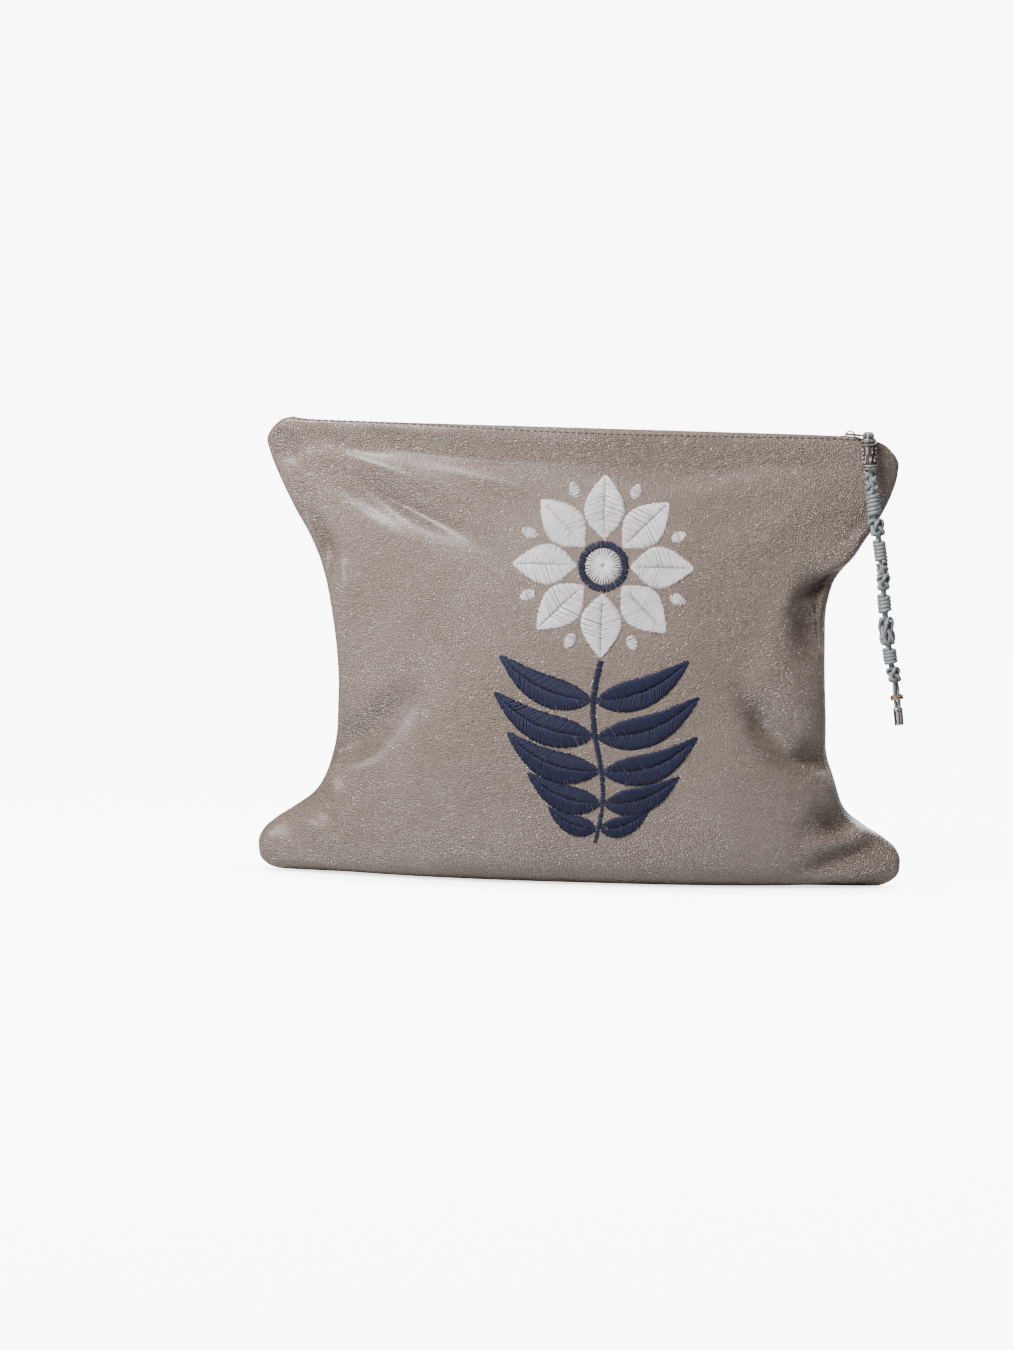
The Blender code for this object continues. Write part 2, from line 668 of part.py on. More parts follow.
def turned(name, profile, foot, top, finish, sides=TURNED_SIDES):
    """A turned piece on the axis from foot to top: profile holds radius and height pairs, a closed loop."""
    axis = (top - foot).normalized()
    frame = Matrix.Translation(foot) @ axis.to_track_quat("Z", "Y").to_matrix().to_4x4()
    bm = bmesh.new()
    rings = []
    for k in range(sides):
        angle = 2 * math.pi * k / sides
        rings.append([
            bm.verts.new(frame @ Vector((r * math.cos(angle), r * math.sin(angle), h)))
            for r, h in profile
        ])
    for k in range(sides):
        here, there = rings[k], rings[(k + 1) % sides]
        for m in range(len(profile)):
            n = (m + 1) % len(profile)
            bm.faces.new((here[m], here[n], there[n], there[m]))
    bmesh.ops.remove_doubles(bm, verts=bm.verts, dist=1e-6)
    return place(name, mesh_of(name, bm), finish)


def route_point(index):
    """The place of a point of the cord's route."""
    return puller_bar() + Vector(PULL_ROUTE[index][:3])


def bead_top():
    """The middle of the bead's top face, just under the puller's far bar."""
    return puller_bar() - Vector((0, 0, PULLER_ROD / 2 + BEAD_DROP))


def bead(finish):
    """The tube bead that the cord's strands pass through, with a collar at the top and two at the foot."""
    top = bead_top()
    foot = top + (route_point(1) - route_point(0)).normalized() * BEAD_LENGTH
    body = BEAD_RADIUS * 0.90
    groove = BEAD_RADIUS * 0.84
    heights = (
        (BEAD_BORE, 0.00), (BEAD_RADIUS, 0.02), (BEAD_RADIUS, 0.08), (groove, 0.10), (BEAD_RADIUS, 0.13),
        (BEAD_RADIUS, 0.18), (groove, 0.21), (body, 0.25), (body, 0.86), (groove, 0.89),
        (BEAD_RADIUS * 0.98, 0.92), (BEAD_RADIUS * 0.98, 0.98), (BEAD_BORE + STRAND_RADIUS / 2, 1.00),
        (BEAD_BORE, 0.93),
    )
    profile = [(radius, share * BEAD_LENGTH) for radius, share in heights]
    return turned("pull_bead", profile, foot, top, finish)


def cord(finish):
    """The plaited, wrapped and knotted cord below the puller, as its outer form."""
    points = [(*route_point(index), row[3]) for index, row in enumerate(PULL_ROUTE)]
    return tube("pull_cord", curve_between(points, SAMPLES_PER_SPAN), WRAP_RADIUS, finish)


def cord_loop(finish):
    """The doubled strand that loops over the puller's far bar and goes down into the bead."""
    bar = puller_bar()
    side = puller_direction()
    up = Vector((0, 0, 1))
    over = PULLER_ROD / 2 + CLEARANCE + STRAND_RADIUS
    apart = STRAND_RADIUS + CLEARANCE / 2
    foot = Vector((bead_top().x, bead_top().y, route_point(0).z + CLEARANCE))
    points = [foot + side * apart, bead_top() + side * (apart + CLEARANCE / 4)]
    for degrees in range(-30, 211, 20):
        angle = math.radians(degrees)
        points.append(bar + side * over * math.cos(angle) + up * over * math.sin(angle))
    points += [bead_top() - side * (apart + CLEARANCE / 4), foot - side * apart]
    return tube("pull_loop", [(*point, STRAND_RADIUS) for point in points], STRAND_RADIUS, finish)


def ring(finish):
    """The copper ring that holds the ends of the strands together."""
    middle = route_point(RING_POINT)
    axis = (route_point(RING_POINT - 1) - route_point(RING_POINT + 1)).normalized()
    bore = PULL_ROUTE[RING_POINT - 1][3] + CLEARANCE
    outer = bore + RING_WIRE
    profile = (
        (bore, 0.0), (bore + RING_WIRE * 0.6, 0.0), (outer, RING_WIDTH * 0.3),
        (outer, RING_WIDTH * 0.7), (bore + RING_WIRE * 0.6, RING_WIDTH), (bore, RING_WIDTH),
    )
    foot = middle - axis * RING_WIDTH / 2
    return turned("pull_ring", profile, foot, foot + axis, finish)


def cap(finish):
    """The end cap: the cord ends inside its bore."""
    end = route_point(len(PULL_ROUTE) - 1)
    axis = (route_point(len(PULL_ROUTE) - 2) - end).normalized()
    floor = CAP_LENGTH - CAP_BORE_DEPTH
    bore = CAP_RADIUS - CAP_WALL
    foot = end - axis * (floor + CLEARANCE)
    profile = (
        (0.0, 0.0), (CAP_RADIUS * 0.82, 0.0), (CAP_RADIUS, CAP_LENGTH * 0.08),
        (CAP_RADIUS, CAP_LENGTH * 0.96), (bore, CAP_LENGTH), (bore, floor), (0.0, floor),
    )
    return turned("pull_cap", profile, foot, foot + axis, finish)


def build():
    """Every piece of the bag."""
    clear_scene()
    leather = material("leather", LEATHER_COLOUR, 0.48)
    tape_cloth = material("zip_tape", TAPE_COLOUR, 0.85)
    nickel = material("nickel", NICKEL_COLOUR, 0.28, 1.0)
    silver = material("oxidised_silver", SILVER_COLOUR, 0.35, 1.0)
    copper = material("copper", COPPER_COLOUR, 0.3, 1.0)
    grey_cord = material("cord", CORD_COLOUR, 0.5)
    panel("front_panel", FRONT, FRONT_FOLDS, FRONT_COLUMNS, leather)
    panel("back_panel", BACK, BACK_FOLDS, BACK_COLUMNS, leather)
    tape("zip_tape_front", FRONT, FRONT_FOLDS, FRONT_COLUMNS, tape_cloth)
    tape("zip_tape_back", BACK, BACK_FOLDS, BACK_COLUMNS, tape_cloth)
    zip_chain(nickel)
    zip_stop(nickel)
    slider(nickel)
    puller(nickel)
    cord_loop(grey_cord)
    bead(silver)
    cord(grey_cord)
    ring(copper)
    cap(silver)


build()
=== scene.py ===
"""A soft leather tallit bag on a pale table, with a zip, thread embroidery and a knotted cord pull.

Metres, +Z up. Seen from the front, +X is to the right and -Y is towards the eye.
"""

import logging
import math
from dataclasses import dataclass, field
from enum import Enum
from typing import Iterable, Sequence

import bmesh
import bpy
import numpy as np
from mathutils import Matrix, Vector
from mathutils.bvhtree import BVHTree


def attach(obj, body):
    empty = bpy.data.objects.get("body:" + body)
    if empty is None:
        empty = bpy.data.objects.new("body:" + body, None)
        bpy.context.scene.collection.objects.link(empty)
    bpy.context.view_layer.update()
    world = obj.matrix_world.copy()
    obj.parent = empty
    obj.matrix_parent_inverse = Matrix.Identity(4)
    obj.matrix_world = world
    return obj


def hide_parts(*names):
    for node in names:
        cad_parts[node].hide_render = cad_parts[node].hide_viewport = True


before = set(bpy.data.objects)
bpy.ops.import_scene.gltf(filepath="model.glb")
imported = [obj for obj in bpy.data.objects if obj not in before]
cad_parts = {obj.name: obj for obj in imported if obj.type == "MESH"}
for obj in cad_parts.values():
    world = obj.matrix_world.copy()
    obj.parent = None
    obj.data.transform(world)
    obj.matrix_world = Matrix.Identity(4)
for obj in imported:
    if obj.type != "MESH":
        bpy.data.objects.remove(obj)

LOG = logging.getLogger("tallit_bag")
BODY = "root"

Colour = tuple[float, float, float]
Point = tuple[float, float, float]


# Helpers for meshes and objects.


def new_object(name: str, mesh: bpy.types.Mesh) -> bpy.types.Object:
    """Put a mesh into the scene as an object at the origin.

    Args:
        name: The object's name.
        mesh: Its mesh.

    Returns:
        The new object.
    """
    item = bpy.data.objects.new(name, mesh)
    bpy.context.collection.objects.link(item)
    return item


def select_only(item: bpy.types.Object) -> None:
    """Make one object the only selected one, and the active one."""
    bpy.ops.object.select_all(action="DESELECT")
    item.select_set(True)
    bpy.context.view_layer.objects.active = item


def apply_modifiers(item: bpy.types.Object) -> None:
    """Apply every modifier of an object, in their order."""
    select_only(item)
    for modifier in list(item.modifiers):
        bpy.ops.object.modifier_apply(modifier=modifier.name)


def apply_place(item: bpy.types.Object) -> None:
    """Move an object's location, rotation and scale into its mesh."""
    select_only(item)
    bpy.ops.object.transform_apply(location=True, rotation=True, scale=True)


def bevel_edges(item: bpy.types.Object, width: float, segments: int = 2, angle: float = 30.0) -> None:
    """Round the sharp edges of a piece with a bevel modifier, and apply it.

    Args:
        item: The piece.
        width: The bevel's width in metres.
        segments: Segments across each bevel.
        angle: Edges sharper than this, in degrees, are rounded.
    """
    modifier = item.modifiers.new("edges", "BEVEL")
    modifier.width = width
    modifier.segments = segments
    modifier.limit_method = "ANGLE"
    modifier.angle_limit = math.radians(angle)
    apply_modifiers(item)


def smooth_by_angle(item: bpy.types.Object, angle: float = 35.0) -> None:
    """Shade a piece smooth, and sharp where its faces meet at more than an angle."""
    select_only(item)
    bpy.ops.object.shade_smooth_by_angle(angle=math.radians(angle))


def select_faces(item: bpy.types.Object, wanted: Iterable[int]) -> None:
    """Select the given faces of a piece, and nothing else, in object mode.

    Args:
        item: The piece.
        wanted: The faces' indices.
    """
    chosen = set(wanted)
    mesh = item.data
    mesh.vertices.foreach_set("select", [False] * len(mesh.vertices))
    mesh.edges.foreach_set("select", [False] * len(mesh.edges))
    mesh.polygons.foreach_set("select", [index in chosen for index in range(len(mesh.polygons))])
    mesh.update()


def join(items: Sequence[bpy.types.Object], name: str) -> bpy.types.Object:
    """Join objects into one.

    Args:
        items: The objects, of which the first one stays.
        name: The joined object's name.

    Returns:
        The joined object.
    """
    bpy.ops.object.select_all(action="DESELECT")
    for item in items:
        item.select_set(True)
    bpy.context.view_layer.objects.active = items[0]
    if len(items) > 1:
        bpy.ops.object.join()
    items[0].name = name
    items[0].data.name = name
    return items[0]


def copy_to(item: bpy.types.Object, place: Matrix) -> bpy.types.Object:
    """A copy of a piece, with its own mesh, moved to a place.

    Args:
        item: The piece to copy.
        place: Where the copy goes.

    Returns:
        The copy.
    """
    mesh = item.data.copy()
    mesh.transform(place)
    return new_object(item.name, mesh)


def ride(item: bpy.types.Object, slot: str, *nodes: str) -> None:
    """Let a piece move with the bag and stand for CAD nodes.

    Args:
        item: The piece.
        slot: The record's material slot; not used.
        nodes: The CAD nodes that it replaces.
    """
    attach(item, BODY)
    if nodes:
        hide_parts(*nodes)
    LOG.info("%s: %d faces", item.name, len(item.data.polygons))


def node_points(name: str) -> np.ndarray:
    """The corners of a CAD node's mesh, one row each, without repeats."""
    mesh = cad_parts[name].data
    points = np.empty(len(mesh.vertices) * 3)
    mesh.vertices.foreach_get("co", points)
    return np.unique(points.reshape(-1, 3).round(7), axis=0)


# Grids that stand for cloth and leather.


def smooth_column(places: np.ndarray, values: np.ndarray, at: np.ndarray) -> np.ndarray:
    """Read a smooth curve through values, without overshoot.

    Args:
        places: Where the values are given, in order.
        values: The values.
        at: Where to read the curve.

    Returns:
        The curve's values.
    """
    steps = np.diff(values) / np.diff(places)
    before, after = steps[:-1], steps[1:]
    same = before * after > 0
    inner = np.where(same, 2 * before * after / np.where(same, before + after, 1.0), 0.0)
    slopes = np.concatenate((steps[:1], inner, steps[-1:]))
    index = np.clip(np.searchsorted(places, at, side="right") - 1, 0, len(places) - 2)
    span = places[index + 1] - places[index]
    t = (at - places[index]) / span
    return (
        values[index] * (1 + 2 * t) * (1 - t) ** 2 + slopes[index] * span * t * (1 - t) ** 2
        + values[index + 1] * t * t * (3 - 2 * t) + slopes[index + 1] * span * t * t * (t - 1)
    )


@dataclass(frozen=True)
class BagForm:
    """The bag's form, as sections of a panel from the bottom seam (0) to the zip edge (1).

    The sections' columns are: along, height of the belly, of the left and of the right seam as shares
    of the height, reach of the left and of the right seam as shares of half the width, depth of the
    belly as a share of half the depth, share of the zip's half opening, bulge past the seam as a share
    of half the width, fullness, and how late the height turns from the belly's to the seam's.
    """

    width: float = 0.367
    height: float = 0.2590
    depth: float = 0.086
    ear: float = 0.00245
    mouth: float = 0.0054
    edge_round: float = 0.003
    seam_gap: float = 0.00015
    spread: float = 80.0
    sections: tuple[tuple[float, ...], ...] = (
        (0.000, 0.000, 0.003, 0.003, 0.930, 0.936, 0.000, 0.00, 0.000, 0.70, 3.2),
        (0.020, 0.000, 0.012, 0.015, 0.966, 0.973, 0.170, 0.00, 0.000, 0.70, 3.2),
        (0.050, 0.000, 0.034, 0.037, 0.993, 0.998, 0.400, 0.00, 0.000, 0.70, 3.2),
        (0.080, 0.004, 0.063, 0.060, 0.997, 1.000, 0.610, 0.00, 0.000, 0.72, 3.2),
        (0.110, 0.018, 0.090, 0.086, 0.982, 0.986, 0.780, 0.00, 0.000, 0.76, 3.2),
        (0.145, 0.055, 0.117, 0.113, 0.942, 0.942, 0.920, 0.00, 0.000, 0.74, 3.2),
        (0.180, 0.105, 0.143, 0.138, 0.888, 0.882, 0.985, 0.00, 0.000, 0.62, 3.2),
        (0.220, 0.160, 0.180, 0.174, 0.822, 0.820, 1.000, 0.00, 0.008, 0.52, 3.2),
        (0.270, 0.222, 0.236, 0.232, 0.780, 0.786, 1.000, 0.00, 0.018, 0.46, 3.2),
        (0.340, 0.306, 0.320, 0.316, 0.758, 0.752, 0.985, 0.00, 0.026, 0.44, 3.2),
        (0.420, 0.400, 0.412, 0.412, 0.752, 0.742, 0.945, 0.00, 0.030, 0.44, 3.2),
        (0.500, 0.492, 0.500, 0.500, 0.760, 0.740, 0.885, 0.00, 0.030, 0.46, 3.2),
        (0.580, 0.583, 0.585, 0.585, 0.780, 0.738, 0.805, 0.00, 0.026, 0.50, 3.2),
        (0.660, 0.672, 0.664, 0.664, 0.814, 0.760, 0.705, 0.00, 0.018, 0.56, 3.2),
        (0.730, 0.748, 0.734, 0.734, 0.856, 0.828, 0.590, 0.00, 0.008, 0.66, 3.2),
        (0.800, 0.818, 0.800, 0.800, 0.910, 0.889, 0.450, 0.00, 0.000, 0.80, 3.2),
        (0.860, 0.876, 0.862, 0.862, 0.955, 0.932, 0.320, 0.10, 0.000, 0.86, 3.4),
        (0.910, 0.922, 0.916, 0.906, 0.988, 0.950, 0.195, 0.35, 0.000, 0.74, 4.0),
        (0.945, 0.950, 0.948, 0.932, 1.000, 0.953, 0.115, 0.72, 0.000, 0.40, 5.0),
        (0.970, 0.971, 0.971, 0.949, 0.986, 0.943, 0.075, 0.95, 0.000, 0.20, 6.5),
        (0.985, 0.983, 0.985, 0.960, 0.967, 0.929, 0.052, 1.00, 0.000, 0.12, 7.5),
        (0.994, 0.990, 0.993, 0.967, 0.952, 0.917, 0.030, 1.00, 0.000, 0.09, 8.0),
        (1.000, 0.9915, 0.998, 0.970, 0.921, 0.905, 0.000, 1.00, 0.000, 0.08, 8.0),
    )

    def grid(self, side: int, across: np.ndarray, along: np.ndarray) -> np.ndarray:
        """Points of a panel's outer face before its folds.

        Args:
            side: -1 for the front panel and 1 for the back one.
            across: Places from -1 at the left seam to 1 at the right one.
            along: Places from 0 at the bottom seam to 1 at the zip edge.

        Returns:
            Points by column and row.
        """
        table = np.array(self.sections)
        names = ("belly_z", "left_z", "right_z", "left", "right", "belly", "mouth", "bulge", "fullness", "blend")
        row = {
            name: smooth_column(table[:, 0], table[:, k + 1], along)[None, :] for k, name in enumerate(names)
        }
        u = across[:, None]
        share = np.sin(u * math.radians(self.spread)) / math.sin(math.radians(self.spread))
        from_seam = 1 - np.abs(share)
        half = self.width / 2
        seam = np.where(u < 0, row["left"], row["right"]) * half
        x = share * (seam + row["bulge"] * half * np.minimum(from_seam / 0.05, 1.0) ** 0.5)
        seam_z = np.where(u < 0, row["left_z"], row["right_z"])
        z = self.height * (row["belly_z"] + (seam_z - row["belly_z"]) * np.abs(u) ** row["blend"])
        middle = row["belly"] * self.depth / 2 + row["mouth"] * self.mouth
        ear = np.minimum(self.ear, middle)
        depth = ear + (middle - ear) * np.clip(1 - share * share, 0, 1) ** row["fullness"]
        distance = np.minimum(from_seam * seam / self.edge_round, 1.0)
        depth = depth * np.sqrt(np.clip(1 - (1 - distance) ** 2, 0, 1))
        return np.stack((x, side * np.maximum(depth, self.seam_gap), z), axis=-1)


def finer(grid: np.ndarray, times: int) -> np.ndarray:
    """Fill in a grid along its first direction with smooth curves through its points.

    Args:
        grid: The grid.
        times: How many cells each cell becomes.

    Returns:
        The finer grid.
    """
    padded = np.concatenate(([2 * grid[0] - grid[1]], grid, [2 * grid[-1] - grid[-2]]))
    pieces = []
    for k in range(times):
        t = k / times
        a, b, c, d = padded[:-3], padded[1:-2], padded[2:-1], padded[3:]
        pieces.append(0.5 * (
            2 * b + (c - a) * t + (2 * a - 5 * b + 4 * c - d) * t * t + (3 * b - a - 3 * c + d) * t ** 3
        ))
    inner = np.stack(pieces, axis=1).reshape(-1, *grid.shape[1:])
    return np.concatenate((inner, grid[-1:]))


def grid_normals(grid: np.ndarray, side: int) -> np.ndarray:
    """The outward normals at a grid's points, for the front (-1) or the back (1)."""
    across = np.gradient(grid, axis=0)
    along = np.gradient(grid, axis=1)
    normals = np.cross(across, along) * -side
    return normals / np.maximum(np.linalg.norm(normals, axis=2, keepdims=True), 1e-12)


def smooth_noise(points: np.ndarray, size: float, seed: int) -> np.ndarray:
    """Soft bumps between -1 and 1, as a sum of a few waves in fixed directions.

    Args:
        points: Where to read them, one row or grid cell each.
        size: How wide a bump is, in metres.
        seed: Chooses the waves.

    Returns:
        The bumps' heights.
    """
    draw = np.random.default_rng(seed)
    total = np.zeros(points.shape[:-1])
    for _ in range(9):
        way = draw.normal(size=3)
        way *= draw.uniform(0.6, 1.5) * math.pi / size / np.linalg.norm(way)
        total += np.sin(points @ way + draw.uniform(0, 2 * math.pi))
    return total / 4.5


# Tubes, for threads and cords.


@dataclass
class Strands:
    """Many tubes gathered into one mesh, each with a UV along and around it in metres and turns."""

    sides: int = 6
    points: list[np.ndarray] = field(default_factory=list)
    faces: list[tuple[int, ...]] = field(default_factory=list)
    uvs: list[tuple[float, float]] = field(default_factory=list)
    count: int = 0

    def add(
        self, path: np.ndarray, radius: float | np.ndarray, up: np.ndarray | None = None,
        flat: float = 1.0, closed: bool = False,
    ) -> None:
        """Add a tube along a path.

        Args:
            path: Points along its middle.
            radius: Its radius, or one for each point.
            up: A direction for each point that its thickness follows, or None to carry one along.
            flat: Its thickness over its width.
            closed: Whether its end joins its start.
        """
        path = np.asarray(path, dtype=float)
        rings = len(path)
        radius = np.broadcast_to(np.asarray(radius, dtype=float), (rings,))
        if closed:
            ahead = np.roll(path, -1, axis=0) - np.roll(path, 1, axis=0)
        else:
            ahead = np.gradient(path, axis=0)
        ahead = ahead / np.maximum(np.linalg.norm(ahead, axis=1, keepdims=True), 1e-12)
        if up is None:
            up = carried(ahead, closed)
        up = up - (up * ahead).sum(axis=1, keepdims=True) * ahead
        up = up / np.maximum(np.linalg.norm(up, axis=1, keepdims=True), 1e-12)
        over = np.cross(ahead, up)
        turns = np.arange(self.sides) * 2 * math.pi / self.sides
        ring = (
            over[:, None] * np.cos(turns)[None, :, None]
            + up[:, None] * (flat * np.sin(turns))[None, :, None]
        )
        self.points.append((path[:, None] + ring * radius[:, None, None]).reshape(-1, 3))
        steps = np.linalg.norm(np.diff(path, axis=0), axis=1)
        runs = np.concatenate(([0.0], np.cumsum(steps), [np.sum(steps)]))
        spans = rings if closed else rings - 1
        start, sides = self.count, self.sides
        for i in range(spans):
            here, there = start + i * sides, start + (i + 1) % rings * sides
            for k in range(sides):
                after = (k + 1) % sides
                self.faces.append((here + k, here + after, there + after, there + k))
                self.uvs += [
                    (runs[i], k / sides), (runs[i], (k + 1) / sides),
                    (runs[i + 1], (k + 1) / sides), (runs[i + 1], k / sides),
                ]
        if not closed:
            self.faces.append(tuple(start + k for k in reversed(range(sides))))
            self.faces.append(tuple(start + spans * sides + k for k in range(sides)))
            self.uvs += [(0.0, k / sides) for k in reversed(range(sides))]
            self.uvs += [(runs[-1], k / sides) for k in range(sides)]
        self.count += rings * sides

    def piece(self, name: str, material: bpy.types.Material) -> bpy.types.Object:
        """Make the tubes one smooth object.

        Args:
            name: Its name.
            material: Its material.

        Returns:
            The object.
        """
        mesh = bpy.data.meshes.new(name)
        mesh.from_pydata(np.concatenate(self.points).tolist(), [], self.faces)
        layer = mesh.uv_layers.new(name="along")
        layer.data.foreach_set("uv", np.array(self.uvs).ravel())
        mesh.materials.append(material)
        mesh.shade_smooth()
        mesh.update()
        return new_object(name, mesh)


def carried(ahead: np.ndarray, closed: bool) -> np.ndarray:
    """Directions square to a path that turn as little as they can along it.

    Args:
        ahead: The path's directions.
        closed: Whether its end joins its start.

    Returns:
        One direction for each point.
    """
    first = np.cross(ahead[0], (0.0, 1.0, 0.0) if abs(ahead[0][1]) < 0.9 else (1.0, 0.0, 0.0))
    ups = [first / np.linalg.norm(first)]
    for way in ahead[1:]:
        moved = ups[-1] - np.dot(ups[-1], way) * way
        ups.append(moved / np.linalg.norm(moved))
    found = np.array(ups)
    if closed:
        back = ups[-1] - np.dot(ups[-1], ahead[0]) * ahead[0]
        side = np.cross(ahead[0], ups[0])
        twist = math.atan2(np.dot(back, side), np.dot(back, ups[0]))
        share = -twist * np.arange(len(found)) / len(found)
        over = np.cross(ahead, found)
        found = found * np.cos(share)[:, None] + over * np.sin(share)[:, None]
    return found


# Shader trees.


@dataclass
class Tree:
    """Adds nodes to a shader tree and links them."""

    tree: bpy.types.NodeTree

    def add(self, kind: str, inputs: dict | None = None, **settings: object) -> bpy.types.Node:
        """Add a node.

        Args:
            kind: The node's type without its ShaderNode prefix.
            inputs: Values or output sockets, by the input's name or index.
            settings: The node's own properties.

        Returns:
            The node.
        """
        node = self.tree.nodes.new("ShaderNode" + kind)
        for key, value in settings.items():
            setattr(node, key, value)
        for key, value in (inputs or {}).items():
            socket = node.inputs[key]
            if isinstance(value, bpy.types.NodeSocket):
                self.tree.links.new(value, socket)
            else:
                socket.default_value = value
        return node

    def math(self, operation: str, *values: object, clamp: bool = False) -> bpy.types.NodeSocket:
        """The result of a Math node.

        Args:
            operation: What it does.
            values: Its numbers or sockets, in order.
            clamp: Whether the result is kept between 0 and 1.

        Returns:
            Its output.
        """
        inputs = dict(enumerate(values))
        return self.add("Math", inputs, operation=operation, use_clamp=clamp).outputs[0]

    def noise(self, vector: object, scale: float, detail: float = 3.0, rough: float = 0.5) -> bpy.types.NodeSocket:
        """The value of a Noise Texture."""
        inputs = {"Vector": vector, "Scale": scale, "Detail": detail, "Roughness": rough}
        return self.add("TexNoise", inputs).outputs[0]

    def between(self, value: object, low: float, high: float, to_low: float, to_high: float) -> bpy.types.NodeSocket:
        """A value carried from one range to another, and kept in it.

        Args:
            value: The value's socket.
            low: Start of its range.
            high: End of its range.
            to_low: Start of the new range.
            to_high: End of the new range.

        Returns:
            The carried value.
        """
        inputs = {"Value": value, "From Min": low, "From Max": high, "To Min": to_low, "To Max": to_high}
        return self.add("MapRange", inputs).outputs[0]

    def blend(self, share: object, first: object, second: object) -> bpy.types.NodeSocket:
        """A colour between two others.

        Args:
            share: How much of the second one.
            first: A colour or its socket.
            second: A colour or its socket.

        Returns:
            The mixed colour.
        """
        node = self.add("Mix", {"Factor": share}, data_type="RGBA")
        for index, colour in ((6, first), (7, second)):
            if isinstance(colour, bpy.types.NodeSocket):
                self.tree.links.new(colour, node.inputs[index])
            else:
                node.inputs[index].default_value = (*colour, 1.0)
        return node.outputs[2]


class Effect(Enum):
    """The shared effects, each a shader node group."""

    PEBBLE = "Pebble grain"
    WEAVE = "Weave"
    TWIST = "Thread twist"
    WEAR = "Wear and mottling"


def new_group(effect: Effect, inputs: dict[str, float], outputs: Sequence[str]) -> tuple[Tree, object, object]:
    """Start a node group that puts out values.

    Args:
        effect: Which effect it is.
        inputs: Its number inputs and what they are to begin with; it also takes a Vector.
        outputs: Names of its value outputs.

    Returns:
        The tree to fill, the group's input node and its output node.
    """
    tree = bpy.data.node_groups.new(effect.value, "ShaderNodeTree")
    tree.interface.new_socket("Vector", in_out="INPUT", socket_type="NodeSocketVector")
    for name, value in inputs.items():
        socket = tree.interface.new_socket(name, in_out="INPUT", socket_type="NodeSocketFloat")
        socket.default_value = value
    for name in outputs:
        tree.interface.new_socket(name, in_out="OUTPUT", socket_type="NodeSocketFloat")
    return Tree(tree), tree.nodes.new("NodeGroupInput"), tree.nodes.new("NodeGroupOutput")


def pebble_group() -> bpy.types.NodeTree:
    """Pebbled leather: raised grains with fine valleys between them, and pores.

    Returns:
        A group with the Height of the grain and its Valley mask.
    """
    t, given, out = new_group(Effect.PEBBLE, {"Grains per metre": 850.0, "Spread": 0.0004}, ("Height", "Valley"))
    links = t.tree.links
    warp = t.add("TexNoise", {"Vector": given.outputs["Vector"], "Scale": 420.0, "Detail": 2.0})
    centred = t.add("VectorMath", {0: warp.outputs["Color"], 1: (0.5, 0.5, 0.5)}, operation="SUBTRACT")
    spread = t.add("VectorMath", {0: centred.outputs[0], "Scale": given.outputs["Spread"]}, operation="SCALE")
    moved = t.add("VectorMath", {0: given.outputs["Vector"], 1: spread.outputs[0]}, operation="ADD").outputs[0]
    cells = t.add(
        "TexVoronoi", {"Vector": moved, "Scale": given.outputs["Grains per metre"]}, feature="DISTANCE_TO_EDGE",
    )
    plateau = t.add(
        "MapRange", {"Value": cells.outputs["Distance"], "From Max": 0.26}, interpolation_type="SMOOTHSTEP",
    ).outputs[0]
    pores = t.noise(given.outputs["Vector"], 3200.0, 2.0)
    links.new(t.math("MULTIPLY_ADD", pores, 0.22, plateau), out.inputs["Height"])
    links.new(t.math("SUBTRACT", 1.0, plateau, clamp=True), out.inputs["Valley"])
    return t.tree


def weave_group() -> bpy.types.NodeTree:
    """Plain weave: threads that pass over and under each other.

    Returns:
        A group with the Height of the weave.
    """
    t, given, out = new_group(Effect.WEAVE, {"Threads per metre": 2600.0}, ("Height",))
    parts = t.add("SeparateXYZ", {0: given.outputs["Vector"]})
    per_metre = given.outputs["Threads per metre"]
    angle_x = t.math("MULTIPLY", t.math("MULTIPLY", parts.outputs["X"], per_metre), math.pi)
    angle_y = t.math("MULTIPLY", t.math("MULTIPLY", parts.outputs["Y"], per_metre), math.pi)
    over = t.math("MULTIPLY", t.math("SINE", angle_x), t.math("SINE", angle_y))
    t.tree.links.new(t.math("MULTIPLY_ADD", over, 0.5, 0.5), out.inputs["Height"])
    return t.tree


def twist_group() -> bpy.types.NodeTree:
    """Twisted plies of a thread, on a UV that runs along and around it.

    Returns:
        A group with the Height of the plies and a Tone that changes slowly along the thread.
    """
    t, given, out = new_group(Effect.TWIST, {"Turns per metre": 1400.0, "Plies": 2.0}, ("Height", "Tone"))
    parts = t.add("SeparateXYZ", {0: given.outputs["Vector"]})
    along = t.math("MULTIPLY", parts.outputs["X"], given.outputs["Turns per metre"])
    around = t.math("MULTIPLY", parts.outputs["Y"], given.outputs["Plies"])
    angle = t.math("MULTIPLY", t.math("ADD", along, around), math.pi)
    t.tree.links.new(t.math("ABSOLUTE", t.math("SINE", angle)), out.inputs["Height"])
    tone = t.noise(given.outputs["Vector"], 180.0, 1.0)
    t.tree.links.new(tone, out.inputs["Tone"])
    return t.tree


